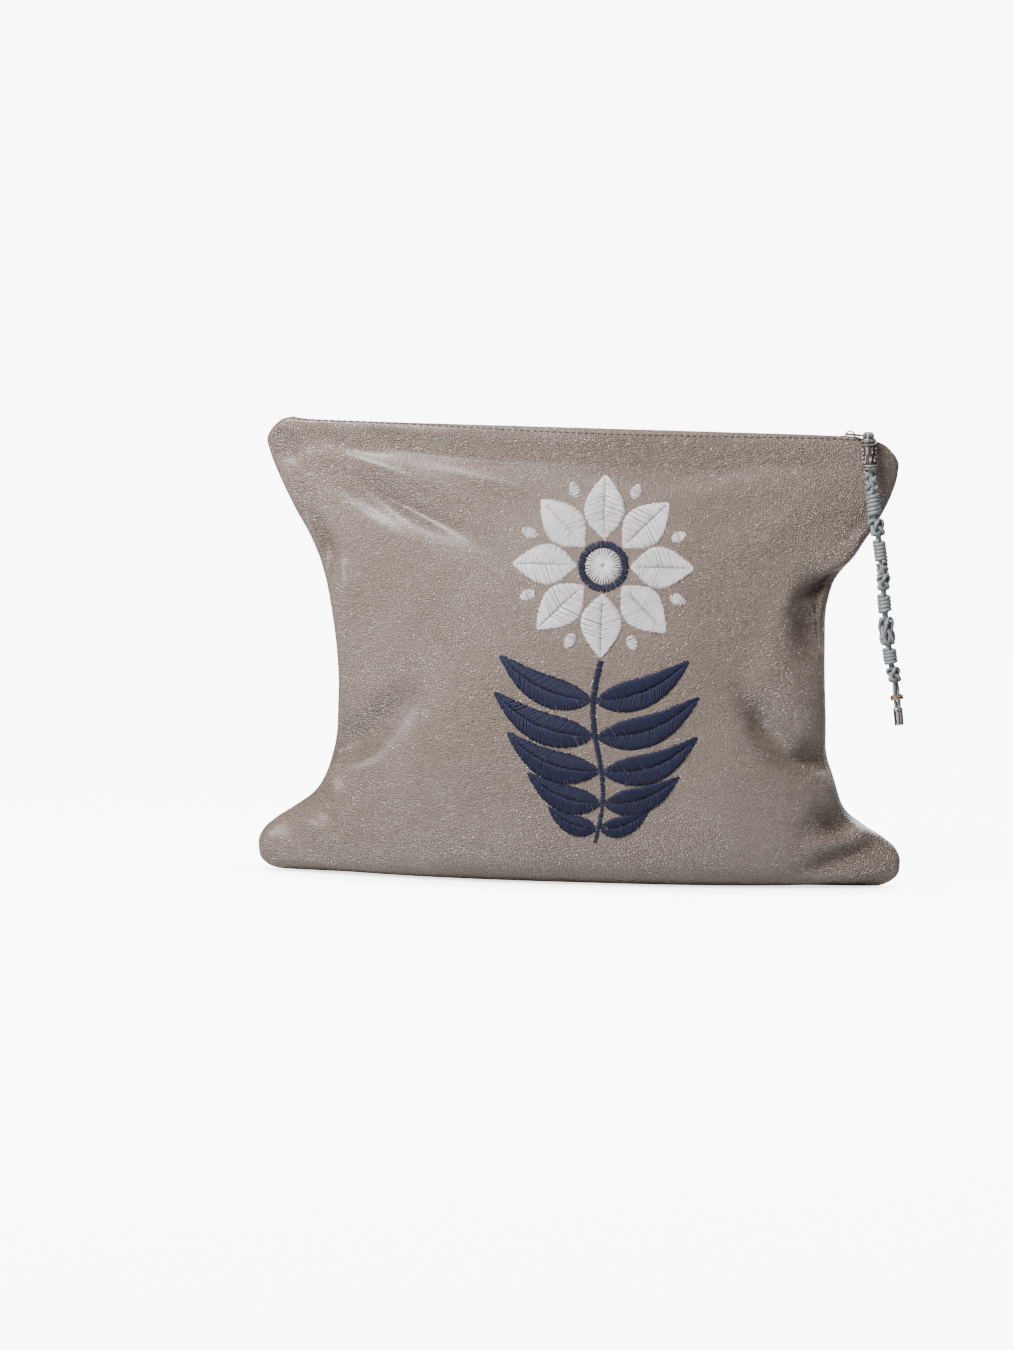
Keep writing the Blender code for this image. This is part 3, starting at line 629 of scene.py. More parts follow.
def wear_group() -> bpy.types.NodeTree:
    """Uneven handling marks: a slow mottling and fine scuffs.

    Returns:
        A group with a Mottling value and a Scuff mask.
    """
    t, given, out = new_group(Effect.WEAR, {"Patch size": 0.03, "Scuffs per metre": 900.0}, ("Mottling", "Scuff"))
    scale = t.math("DIVIDE", 1.0, given.outputs["Patch size"])
    patch = t.add("TexNoise", {"Vector": given.outputs["Vector"], "Scale": scale, "Detail": 4.0, "Roughness": 0.6})
    t.tree.links.new(patch.outputs[0], out.inputs["Mottling"])
    fine = t.add(
        "TexNoise",
        {"Vector": given.outputs["Vector"], "Scale": given.outputs["Scuffs per metre"], "Detail": 5.0, "Roughness": 0.7},
    )
    t.tree.links.new(t.between(fine.outputs[0], 0.52, 0.72, 0.0, 1.0), out.inputs["Scuff"])
    return t.tree


GROUP_MAKERS = {
    Effect.PEBBLE: pebble_group,
    Effect.WEAVE: weave_group,
    Effect.TWIST: twist_group,
    Effect.WEAR: wear_group,
}


def effect_node(tree: Tree, effect: Effect, vector: object, **values: float) -> bpy.types.Node:
    """Place a shared effect in a material, making its group the first time.

    Args:
        tree: The material's tree.
        effect: Which effect.
        vector: The coordinates it reads.
        values: Its inputs, with underscores for spaces in their names.

    Returns:
        The group's node.
    """
    group = bpy.data.node_groups.get(effect.value) or GROUP_MAKERS[effect]()
    node = tree.tree.nodes.new("ShaderNodeGroup")
    node.node_tree = group
    tree.tree.links.new(vector, node.inputs["Vector"])
    for name, value in values.items():
        node.inputs[name.replace("_", " ")].default_value = value
    return node


def start_material(name: str, **constants: float) -> tuple[bpy.types.Material, Tree, bpy.types.Node]:
    """Start a Principled material.

    Args:
        name: The material's name.
        constants: Values for the shader's own sockets, with underscores for spaces.

    Returns:
        The material, its tree and its shader node.
    """
    material = bpy.data.materials.new(name)
    material.use_nodes = True
    shader = material.node_tree.nodes["Principled BSDF"]
    for key, value in constants.items():
        shader.inputs[key.replace("_", " ")].default_value = value
    return material, Tree(material.node_tree), shader


def add_bump(tree: Tree, shader: bpy.types.Node, height: object, distance: float, strength: float = 1.0) -> None:
    """Feed a height to the shader's normal through a Bump node.

    Args:
        tree: The material's tree.
        shader: Its shader.
        height: The height's socket.
        distance: How far a height of 1 stands out, in metres.
        strength: How much of it shows.
    """
    bump = tree.add("Bump", {"Height": height, "Distance": distance, "Strength": strength})
    tree.tree.links.new(bump.outputs[0], shader.inputs["Normal"])


# Finishes.


@dataclass(frozen=True)
class Leather:
    """Soft pebbled leather with a satin sheen."""

    name: str = "taupe_leather"
    colour: Colour = (0.182, 0.130, 0.100)
    dark: Colour = (0.075, 0.052, 0.039)
    light: Colour = (0.245, 0.184, 0.148)
    roughness: tuple[float, float] = (0.28, 0.36)
    grains_per_metre: float = 690.0

    def material(self) -> bpy.types.Material:
        """Build the material.

        Returns:
            The material, which reads a panel's ridge attribute for a painted highlight on the folds' crests, and its
            strain attribute for creases.
        """
        material, t, shader = start_material(
            self.name, Specular_IOR_Level=0.8, Coat_Weight=0.45, Coat_Roughness=0.30)
        place = t.add("TexCoord").outputs["Object"]
        grain = effect_node(t, Effect.PEBBLE, place, Grains_per_metre=self.grains_per_metre)
        wear = effect_node(t, Effect.WEAR, place, Patch_size=0.045)
        strain = t.add("Attribute", attribute_name="strain").outputs["Fac"]
        ridge_highlight = t.add("Attribute", attribute_name="ridge_highlight").outputs["Fac"]
        base = t.blend(t.between(wear.outputs["Mottling"], 0.35, 0.65, 0.0, 0.55), self.colour, self.light)
        # Painted shade: the grain's valleys are darkened towards the dark colour.
        valley_shade = t.math("MULTIPLY", grain.outputs["Valley"], 0.55)
        base = t.blend(valley_shade, base, self.dark)
        # Painted highlight: the colour turns towards the light tone on the crests of the folds.
        base = t.blend(t.between(ridge_highlight, 0.0, 1.0, 0.0, 0.5), base, self.light)
        t.tree.links.new(base, shader.inputs["Base Color"])
        rough = t.between(wear.outputs["Mottling"], 0.3, 0.7, *self.roughness)
        rough = t.math("MULTIPLY_ADD", grain.outputs["Valley"], 0.12, rough)
        t.tree.links.new(rough, shader.inputs["Roughness"])
        turn = (0, math.radians(24), 0)
        stretched = t.add("Mapping", {"Vector": place, "Rotation": turn, "Scale": (1, 1, 4.5)}).outputs[0]
        cells = t.add("TexVoronoi", {"Vector": stretched, "Scale": 210.0}, feature="DISTANCE_TO_EDGE")
        drawn = t.between(cells.outputs["Distance"], 0.0, 0.2, 0.0, 1.0)
        creased = t.math("MULTIPLY", t.math("MULTIPLY", drawn, strain), 1.6)
        height = t.math("ADD", grain.outputs["Height"], creased)
        add_bump(t, shader, height, 0.00046)
        return material


@dataclass(frozen=True)
class Thread:
    """Twisted sewing or embroidery thread."""

    name: str
    colour: Colour
    shade: Colour
    roughness: float = 0.55
    sheen: float = 0.15

    def material(self) -> bpy.types.Material:
        """Build the material, which reads a UV along and around the thread."""
        material, t, shader = start_material(
            self.name, Roughness=self.roughness, Sheen_Weight=self.sheen, Specular_IOR_Level=0.3)
        along = t.add("UVMap", uv_map="along").outputs[0]
        twist = effect_node(t, Effect.TWIST, along)
        place = t.add("TexCoord").outputs["Object"]
        patch = effect_node(t, Effect.WEAR, place, Patch_size=0.004)
        # Painted shade between the twisted plies, mixed with random patches of tone, both towards the shade colour.
        share = t.math("MULTIPLY", t.between(patch.outputs["Mottling"], 0.3, 0.7, 0.2, 1.0), 0.6)
        share = t.math("MULTIPLY_ADD", twist.outputs["Height"], -0.25, t.math("ADD", share, 0.2), clamp=True)
        t.tree.links.new(t.blend(share, self.colour, self.shade), shader.inputs["Base Color"])
        add_bump(t, shader, twist.outputs["Height"], 0.00006)
        return material


@dataclass(frozen=True)
class Metal:
    """Cast or plated metal, darker in its recesses."""

    name: str
    colour: Colour
    tarnish: Colour
    roughness: tuple[float, float] = (0.18, 0.34)
    tarnish_share: float = 0.25
    scuffs_per_metre: float = 2200.0

    def material(self) -> bpy.types.Material:
        """Build the material, which reads a recess attribute where a piece has one."""
        material, t, shader = start_material(self.name, Metallic=1.0)
        place = t.add("TexCoord").outputs["Object"]
        wear = effect_node(t, Effect.WEAR, place, Patch_size=0.0035, Scuffs_per_metre=self.scuffs_per_metre)
        recess = t.add("Attribute", attribute_name="recess").outputs["Fac"]
        patch = t.math("MULTIPLY", wear.outputs["Mottling"], self.tarnish_share)
        share = t.math("ADD", recess, patch, clamp=True)
        t.tree.links.new(t.blend(share, self.colour, self.tarnish), shader.inputs["Base Color"])
        rough = t.between(wear.outputs["Mottling"], 0.3, 0.7, *self.roughness)
        t.tree.links.new(t.math("MULTIPLY_ADD", recess, 0.3, rough), shader.inputs["Roughness"])
        add_bump(t, shader, wear.outputs["Scuff"], 0.00002, 0.6)
        return material


@dataclass(frozen=True)
class CordHide:
    """Round waxed leather cord, with fine lines along it."""

    name: str = "waxed_cord"
    colour: Colour = (0.205, 0.223, 0.234)
    dark: Colour = (0.095, 0.108, 0.117)
    roughness: float = 0.46

    def material(self) -> bpy.types.Material:
        """Build the material, which reads a UV along and around the strand."""
        material, t, shader = start_material(self.name, Roughness=self.roughness, Coat_Weight=0.12)
        along = t.add("UVMap", uv_map="along").outputs[0]
        lines = t.add("Mapping", {"Vector": along, "Scale": (60.0, 9.0, 1.0)}).outputs[0]
        fibre = t.noise(lines, 2.0, 3.0)
        place = t.add("TexCoord").outputs["Object"]
        wear = effect_node(t, Effect.WEAR, place, Patch_size=0.006, Scuffs_per_metre=1500.0)
        share = t.math("MULTIPLY", t.between(wear.outputs["Mottling"], 0.3, 0.7, 0.0, 1.0), 0.45)
        share = t.math("MULTIPLY_ADD", fibre, 0.3, share, clamp=True)
        t.tree.links.new(t.blend(share, self.colour, self.dark), shader.inputs["Base Color"])
        add_bump(t, shader, t.math("ADD", fibre, wear.outputs["Scuff"]), 0.00005)
        return material


@dataclass(frozen=True)
class WovenTape:
    """Woven zip tape."""

    name: str = "woven_tape"
    colour: Colour = (0.64, 0.61, 0.575)
    shade: Colour = (0.45, 0.425, 0.395)

    def material(self) -> bpy.types.Material:
        """Build the material, which reads the object's own coordinates."""
        material, t, shader = start_material(self.name, Roughness=0.82, Sheen_Weight=0.2)
        place = t.add("TexCoord").outputs["Object"]
        weave = effect_node(t, Effect.WEAVE, place)
        wear = effect_node(t, Effect.WEAR, place, Patch_size=0.004)
        # Painted shade where the threads pass under each other, mixed with random patches of tone, both towards the
        # shade colour.
        share = t.math("MULTIPLY_ADD", weave.outputs["Height"], -0.6, 0.8)
        share = t.math("MULTIPLY_ADD", wear.outputs["Mottling"], 0.3, share, clamp=True)
        t.tree.links.new(t.blend(share, self.colour, self.shade), shader.inputs["Base Color"])
        add_bump(t, shader, weave.outputs["Height"], 0.00012)
        return material


@dataclass(frozen=True)
class TableTop:
    """The pale matt table, which glows faintly so that it stays near white around the bag, and glows less close to the
    bag, which paints a soft shadow there.
    """

    name: str = "pale_table"
    colour: Colour = (0.50, 0.50, 0.50)
    glow: float = 9.0
    shadow_reach: float = 0.045

    def material(self) -> bpy.types.Material:
        """Build the material, with a faint change of its roughness, a glow that only the camera sees and a painted
        shadow where the glow dims near the bag.
        """
        material, t, shader = start_material(self.name, Specular_IOR_Level=0.2)
        place = t.add("TexCoord").outputs["Object"]
        wear = effect_node(t, Effect.WEAR, place, Patch_size=0.2)
        tone = tuple(0.985 * channel for channel in self.colour)
        t.tree.links.new(t.blend(wear.outputs["Mottling"], self.colour, tone), shader.inputs["Base Color"])
        t.tree.links.new(t.between(wear.outputs["Mottling"], 0.0, 1.0, 0.55, 0.7), shader.inputs["Roughness"])
        # Painted light: the table glows for camera rays only.
        seen = t.add("LightPath").outputs["Is Camera Ray"]
        # Painted shadow: ambient occlusion dims the glow near the bag.
        near = t.add("AmbientOcclusion", {"Distance": self.shadow_reach}, samples=4).outputs["AO"]
        power = t.math("MULTIPLY", seen, t.between(near, 0.0, 1.0, self.glow * 0.2, self.glow))
        glow = t.add("Emission", {"Color": (1.0, 1.0, 1.0, 1.0), "Strength": power})
        both = t.add("AddShader", {0: shader.outputs[0], 1: glow.outputs[0]})
        t.tree.links.new(both.outputs[0], t.tree.nodes["Material Output"].inputs["Surface"])
        return material


# The studio.


@dataclass
class AreaLight:
    """One soft light: where it stands, how large it is, and its power in watts."""

    name: str
    place: Point
    size: float
    power: float
    aim: Point = (0.0, 0.0, 0.12)

    def build(self) -> None:
        """Place the light and turn it to its aim."""
        data = bpy.data.lights.new(self.name, "AREA")
        data.shape = "DISK"
        data.size = self.size
        data.energy = self.power
        lamp = bpy.data.objects.new(self.name, data)
        bpy.context.collection.objects.link(lamp)
        way = Vector(self.aim) - Vector(self.place)
        lamp.matrix_world = Matrix.Translation(self.place) @ way.to_track_quat("-Z", "Y").to_matrix().to_4x4()


@dataclass
class Studio:
    """The pale table and backdrop, the soft lights and the camera at the photograph's angle."""

    frame_height: float = 0.768
    lens: float = 110.0
    sensor: float = 36.0
    elevation: float = 4.0
    roll: float = 1.7
    aim: Point = (0.0, 0.0, 0.1253)
    shift: tuple[float, float] = (-0.0578, -0.0115)
    table_depth: float = 3.2
    table_width: float = 9.0
    sweep: float = 1.2
    lights: tuple[AreaLight, ...] = (
        AreaLight("key_light", (-0.46, -0.48, 0.86), 0.26, 15.0, (-0.06, 0.0, 0.16)),
        AreaLight("sheen_light", (-0.34, -0.74, 1.08), 0.26, 15.0, (-0.10, 0.0, 0.24)),
        AreaLight("side_light", (-1.60, -1.10, 0.75), 0.50, 22.0),
        AreaLight("fill_light", (1.9, -1.9, 0.7), 1.2, 2.0),
        AreaLight("back_light", (0.8, 1.5, 1.1), 0.9, 24.0),
    )
    sky: float = 0.15

    def camera(self) -> None:
        """Stand the camera so that the frame at the bag has the photograph's height."""
        data = bpy.data.cameras.new("photograph_view")
        data.lens = self.lens
        data.sensor_width = self.sensor
        data.shift_x, data.shift_y = self.shift
        distance = self.frame_height * self.lens / self.sensor
        tilt = math.radians(self.elevation)
        back = Vector((0, -math.cos(tilt), math.sin(tilt)))
        turn = back.to_track_quat("Z", "Y").to_matrix().to_4x4()
        turn = turn @ Matrix.Rotation(math.radians(self.roll), 4, "Z")
        item = bpy.data.objects.new("photograph_view", data)
        item.matrix_world = Matrix.Translation(Vector(self.aim) + back * distance) @ turn
        bpy.context.collection.objects.link(item)
        bpy.context.scene.camera = item

    def table(self) -> None:
        """Lay the table, which turns up behind into a backdrop."""
        bpy.ops.object.select_all(action="DESELECT")
        bpy.ops.mesh.primitive_plane_add(size=1.0, location=(0, 0, 0))
        item = bpy.context.active_object
        item.name = "table"
        item.scale = (self.table_width, 2 * self.table_depth, 1)
        apply_place(item)
        back = [edge.index for edge in item.data.edges if all(
            item.data.vertices[index].co.y > 0 for index in edge.vertices)]
        bpy.ops.object.mode_set(mode="EDIT")
        bpy.ops.mesh.select_mode(type="EDGE")
        bpy.ops.mesh.select_all(action="DESELECT")
        bpy.ops.object.mode_set(mode="OBJECT")
        for index in back:
            item.data.edges[index].select = True
        bpy.ops.object.mode_set(mode="EDIT")
        steps = 10
        for k in range(steps):
            angle = math.pi / 2 * (k + 0.5) / steps
            length = self.sweep * math.pi / 2 / steps
            step = (0, length * math.cos(angle), length * math.sin(angle))
            bpy.ops.mesh.extrude_region_move(TRANSFORM_OT_translate={"value": step})
        bpy.ops.mesh.extrude_region_move(TRANSFORM_OT_translate={"value": (0, 0, 3.0)})
        bpy.ops.object.mode_set(mode="OBJECT")
        select_only(item)
        bpy.ops.object.shade_smooth()
        item.data.materials.append(TableTop().material())

    def build(self) -> None:
        """Build the camera, the table, the lights and the sky."""
        self.camera()
        self.table()
        for light in self.lights:
            light.build()
        world = bpy.data.worlds.new("soft_sky")
        world.use_nodes = True
        background = world.node_tree.nodes["Background"]
        background.inputs["Color"].default_value = (1.0, 1.0, 1.0, 1.0)
        background.inputs["Strength"].default_value = self.sky
        bpy.context.scene.world = world


# The leather panels.

ROWS = (
    0.0, 0.015, 0.042, 0.075, 0.108, 0.145, 0.185, 0.230, 0.285, 0.345, 0.410, 0.475, 0.540, 0.595,
    0.640, 0.680, 0.720, 0.765, 0.815, 0.865, 0.910, 0.942, 0.967, 0.986, 1.0,
)


@dataclass(frozen=True)
class Fold:
    """One fold: its middle, the direction of its crest up from +X, its half length, half width and lift."""

    x: float
    z: float
    direction: float
    length: float
    width: float
    lift: float

    def lift_at(self, x: np.ndarray, z: np.ndarray) -> np.ndarray:
        """How far the fold lifts the leather at each place.

        Args:
            x: Places across the bag.
            z: Heights of the places.

        Returns:
            The lift in metres.
        """
        turn = math.radians(self.direction)
        dx, dz = x - self.x, z - self.z
        run = (dx * math.cos(turn) + dz * math.sin(turn)) / self.length
        off = (dz * math.cos(turn) - dx * math.sin(turn)) / self.width
        return self.lift * np.exp(-run * run - off * off)


def folds(rows: Sequence[tuple[float, ...]]) -> tuple[Fold, ...]:
    """Folds from a table in millimetres and degrees: x, z, direction, length, width, lift."""
    made = []
    for x, z, direction, length, width, lift in rows:
        made.append(Fold(x / 1000, z / 1000, direction, length / 1000, width / 1000, lift / 1000))
    return tuple(made)


FRONT_FOLDS = folds((
    (133, 173, 26, 19, 9, -6.9),
    (141, 186, 42, 28, 9, 4.3),
    (135, 152, 80, 22, 14, -5.6),
    (106, 91, -50, 25, 11, -5.6),
    (131, 74, -4, 17, 9, -5.6),
    (117, 114, -62, 26, 13, 3.0),
    (147, 36, 25, 14, 9, -4.3),
    (158, 30, 8, 18, 8, 2.6),
    (147, 17, 20, 28, 8, -2.6),
    (-150, 186, -66, 21, 9, -5.6),
    (-138, 166, -70, 23, 10, 2.6),
    (-169, 242, 25, 19, 8, -2.1),
    (-69, 242, -1, 57, 8, -2.6),
    (55, 241, 2, 52, 8, -1.7),
    (-107, 215, -27, 44, 10, -2.1),
    (-136, 78, 8, 17, 9, -5.2),
    (-147, 28, 150, 18, 8, 2.6),
    (-110, 93, 48, 22, 10, -3.9),
    (-120, 230, -19, 46, 8, 2.4),
    (-104, 214, -22, 50, 8, -1.6),
    (-60, 226, -14, 34, 7, 1.2),
    (-158, 208, -60, 26, 7, 2.2),
    (-146, 120, 84, 46, 8, 1.4),
    (70, 222, 10, 60, 10, 0.9),
    (96, 196, 34, 40, 9, 1.3),
    (104, 128, 66, 42, 9, 1.6),
    (60, 60, -30, 44, 14, 1.0),
    (-60, 70, 24, 50, 16, 0.9),
    (-96, 150, 60, 40, 14, 0.9),
    (-175, 246, -41, 16, 6, -2.6),
    (-152, 235, -24, 18, 5, 1.6),
    (-137, 243, -20, 22, 4, -1.4),
    (-111, 247, -17, 16, 3, -1.3),
    (-102, 222, -25, 24, 7, 1.4),
    (-108, 213, -27, 34, 4, -1.6),
    (-127, 212, -32, 22, 4, -1.6),
    (-140, 224, -30, 16, 4, 1.3),
    (-69, 245, -2, 42, 4, -1.4),
    (-10, 243, 3, 45, 4, -1.1),
    (58, 245, -1, 38, 4, -1.0),
    (106, 243, -5, 26, 4, -1.1),
    (-150, 189, -66, 16, 5, -2.6),
    (-142, 196, -62, 14, 5, 1.4),
    (-133, 176, -58, 18, 4, -1.4),
    (138, 180, 40, 22, 5, 2.7),
    (133, 171, 26, 14, 4, -3.2),
    (124, 150, -58, 16, 8, -2.6),
    (112, 163, 60, 14, 5, 1.3),
    (150, 203, 50, 18, 4, -1.4),
    (105, 91, -49, 18, 5, -2.7),
    (130, 73, -2, 12, 4, -2.7),
    (112, 100, -50, 20, 6, 1.8),
    (124, 66, -6, 14, 4, 1.4),
    (144, 37, -37, 13, 5, -2.6),
    (157, 32, 11, 15, 4, 1.6),
    (149, 18, 22, 24, 4, -2.2),
    (128, 34, 60, 12, 5, -1.3),
    (-150, 34, -26, 24, 5, -1.9),
    (-141, 50, -50, 14, 5, 1.3),
    (-120, 84, 42, 18, 5, -1.9),
    (-132, 70, 6, 12, 4, -1.9),
))
BACK_FOLDS = folds((
    (132, 171, 30, 19, 8, -4.7),
    (-134, 168, -34, 21, 8, -4.7),
    (128, 78, -10, 18, 8, -3.9),
    (-127, 83, 14, 19, 9, -3.9),
    (-103, 220, 24, 41, 9, -1.9),
    (77, 241, -3, 57, 8, -1.7),
    (18, 145, 84, 78, 23, 1.3),
    (150, 236, 24, 22, 5, -1.0),
    (112, 216, 26, 32, 5, -0.9),
    (-140, 182, -38, 22, 5, -1.4),
    (-128, 168, -26, 16, 5, 1.1),
    (136, 184, 60, 16, 5, -1.1),
    (-108, 88, 46, 20, 6, -1.2),
    (118, 80, -42, 18, 5, -1.1),
    (-148, 34, 30, 18, 5, -1.0),
    (148, 30, -26, 20, 5, -1.0),
    (-60, 245, 2, 44, 4, -0.7),
    (40, 244, -3, 44, 4, -0.7),
    (10, 120, 84, 70, 18, 0.9),
))


@dataclass
class LeatherPanel:
    """One leather panel: its outer face follows the CAD wall, with its folds, puckers and seams."""

    node: str
    side: int
    folds: tuple[Fold, ...]
    seed: int
    columns: int = 36
    cells: int = 6
    thickness: float = 0.0016
    undulations: tuple[tuple[float, float], ...] = ((0.060, 0.0011), (0.022, 0.00035))
    tape_shares: tuple[float, ...] = (0.86, 0.905, 0.97, 1.0)
    tape_depths: tuple[float, ...] = (0.0200, 0.0011, 0.0009, 0.0003)
    seam_gap: float = 0.0003
    seam_pull: float = 0.0004
    seam_pitch: float = 0.0075
    grid: np.ndarray = field(default_factory=lambda: np.empty(0))
    piece: bpy.types.Object | None = None
    tree: BVHTree | None = None

    def shape(self) -> tuple[np.ndarray, np.ndarray]:
        """Make the fine grid of the outer face.

        Returns:
            The grid's points, and how far each was lifted.
        """
        across = np.linspace(-1, 1, self.columns * self.cells + 1)
        steps = np.linspace(0, len(ROWS) - 1, (len(ROWS) - 1) * self.cells + 1)
        along = np.interp(steps, np.arange(len(ROWS)), ROWS)
        grid = BagForm().grid(self.side, across, along)
        grid[..., 1] = np.where(np.abs(grid[..., 1]) < self.seam_gap, 0.0, grid[..., 1])
        across, along = across[:, None], along[None, :]
        fade = np.clip((1 - np.abs(across)) / 0.10, 0, 1) * np.clip((along - 0.07) / 0.08, 0, 1)
        fade = fade * np.clip((0.985 - along) / 0.03, 0, 1)
        x, z = grid[..., 0], grid[..., 2]
        lift = sum(fold.lift_at(x, z) for fold in self.folds) * fade
        for number, (size, height) in enumerate(self.undulations):
            lift = lift + smooth_noise(grid, size, self.seed + 10 * number) * height * fade
        deepest = np.interp(along, self.tape_shares, self.tape_depths)
        lift = np.maximum(lift, -deepest)
        near_seam = np.exp(-((1 - np.abs(across)) / 0.09) ** 2) * fade
        pucker = np.sin(z * 2 * math.pi / self.seam_pitch + 2.0 * smooth_noise(grid, 0.03, self.seed + 1))
        lift = lift - self.seam_pull * near_seam * (0.5 + 0.5 * pucker)
        return grid + grid_normals(grid, self.side) * lift[..., None], lift

    def build(self, material: bpy.types.Material) -> bpy.types.Object:
        """Build the panel with its wall of leather.

        Args:
            material: The leather.

        Returns:
            The panel.
        """
        self.grid, lift = self.shape()
        columns, rows = self.grid.shape[:2]
        index = np.arange(columns * rows).reshape(columns, rows)
        quads = np.stack((index[:-1, :-1], index[1:, :-1], index[1:, 1:], index[:-1, 1:]), axis=-1)
        if self.side > 0:
            quads = quads[..., ::-1]
        mesh = bpy.data.meshes.new(self.node)
        mesh.from_pydata(self.grid.reshape(-1, 3).tolist(), [], quads.reshape(-1, 4).tolist())
        # Painted highlight: how far the folds lift the leather, which the leather lightens on the crests.
        ridge_highlight = np.clip(lift / 0.0016, 0, 1)
        strain = np.clip(0.15 + smooth_noise(self.grid, 0.09, self.seed + 3) * 0.35 + np.abs(lift) / 0.002, 0, 1)
        for name, values in (("ridge_highlight", ridge_highlight), ("strain", strain)):
            layer = mesh.attributes.new(name, "FLOAT", "POINT")
            layer.data.foreach_set("value", values.ravel())
        mesh.materials.append(material)
        mesh.shade_smooth()
        self.piece = new_object("leather_" + self.node, mesh)
        self.tree = BVHTree.FromObject(self.piece, bpy.context.evaluated_depsgraph_get())
        wall = self.piece.modifiers.new("wall", "SOLIDIFY")
        wall.thickness = self.thickness
        wall.offset = -1
        apply_modifiers(self.piece)
        ride(self.piece, "leather", self.node)
        return self.piece

    def surface(self, x: float, z: float) -> tuple[np.ndarray, np.ndarray]:
        """The place and normal of the outer face, seen straight from its side.

        Args:
            x: Place across the bag.
            z: Its height.

        Returns:
            The point and the outward normal.
        """
        hit, normal, _, _ = self.tree.ray_cast(Vector((x, self.side, z)), Vector((0, -self.side, 0)))
        if hit is None:
            hit, normal, _, _ = self.tree.find_nearest(Vector((x, 0, z)))
        if normal.y * self.side < 0:
            normal = -normal
        return np.array(hit), np.array(normal)


@dataclass
class Topstitching:
    """The row of long stitches a little under a panel's edge at the zip, down round both corners."""

    panel: LeatherPanel
    inset: float = 0.0040
    pitch: float = 0.0036
    stitch: float = 0.0027
    radius: float = 0.00042
    start_row: float = 0.955

    def line(self) -> tuple[np.ndarray, np.ndarray]:
        """The line the stitches follow, a set distance down from the panel's edge.

        Returns:
            Points along it and the outward normals there.
        """
        grid = self.panel.grid
        normals = grid_normals(grid, self.panel.side)
        points, ways = [], []
        for column, directions in zip(grid[6:-6], normals[6:-6]):
            down = np.concatenate(([0.0], np.cumsum(np.linalg.norm(np.diff(column[::-1], axis=0), axis=1))))
            for found, source in ((points, column), (ways, directions)):
                found.append([np.interp(self.inset, down, source[::-1, k]) for k in range(3)])
        return np.array(points), np.array(ways)

    def build(self, material: bpy.types.Material) -> bpy.types.Object:
        """Sew the stitches.

        Args:
            material: The thread.

        Returns:
            The stitches as one piece.
        """
        points, normals = self.line()
        runs = np.concatenate(([0.0], np.cumsum(np.linalg.norm(np.diff(points, axis=0), axis=1))))
        strands = Strands(sides=6)
        for start in np.arange(self.pitch, runs[-1] - self.pitch, self.pitch):
            at = start + np.linspace(0, self.stitch, 6)
            path = np.stack([np.interp(at, runs, points[:, k]) for k in range(3)], axis=1)
            up = np.stack([np.interp(at, runs, normals[:, k]) for k in range(3)], axis=1)
            arc = np.sin(np.linspace(0, math.pi, 6)) ** 0.5
            lift = -self.radius * 0.9 + arc * self.radius * 1.6
            strands.add(path + up * lift[:, None], self.radius, up=up, flat=0.8)
        piece = strands.piece("topstitch_" + self.panel.node, material)
        ride(piece, "topstitch")
        return piece


# The embroidery.


@dataclass
class SatinStitcher:
    """Lays satin stitches side by side on the front panel, each one thread that arches over a shape."""

    panel: LeatherPanel
    pitch: float = 0.00092
    width: float = 0.00045
    crown: float = 0.0008
    samples: int = 9
    strands: Strands = field(default_factory=lambda: Strands(sides=6))

    def stitch(self, start: np.ndarray, end: np.ndarray) -> None:
        """Lay one thread from start to end, given as x and z.

        Args:
            start: Where it comes up.
            end: Where it goes down.
        """
        shares = np.linspace(0, 1, self.samples)
        length = float(np.linalg.norm(end - start))
        crown = min(self.crown, length * 0.12)
        path, ups = [], []
        for share in shares:
            x, z = start + (end - start) * share
            point, normal = self.panel.surface(x, z)
            arch = (1 - (2 * share - 1) ** 4) ** 0.5
            path.append(point + normal * (crown * arch - 0.00012))
            ups.append(normal)
        self.strands.add(np.array(path), self.width, up=np.array(ups), flat=0.75)

    def fill(self, left: np.ndarray, right: np.ndarray) -> None:
        """Fill the band between two edges with stitches from one to the other.

        Args:
            left: Points along one edge, x and z.
            right: As many points along the other edge.
        """
        middle = (left + right) / 2
        runs = np.concatenate(([0.0], np.cumsum(np.linalg.norm(np.diff(middle, axis=0), axis=1))))
        count = max(int(runs[-1] / self.pitch), 2)
        draw = np.random.default_rng(int(runs[-1] * 1e6) % 9973)
        for at in np.linspace(0, runs[-1], count):
            a = np.array([np.interp(at, runs, left[:, k]) for k in range(2)])
            b = np.array([np.interp(at, runs, right[:, k]) for k in range(2)])
            if np.linalg.norm(b - a) > 0.0006:
                jitter = draw.normal(scale=0.00016, size=4)
                self.stitch(a + jitter[:2], b + jitter[2:])


def turned_to(points: np.ndarray, place: tuple[float, float], degrees: float) -> np.ndarray:
    """Points drawn along +X, turned and moved to a place on the front.

    Args:
        points: Rows of x and z.
        place: Where their origin goes.
        degrees: How far they turn, up from +X.

    Returns:
        The moved points.
    """
    c, s = math.cos(math.radians(degrees)), math.sin(math.radians(degrees))
    return points @ np.array(((c, s), (-s, c))) + np.array(place)


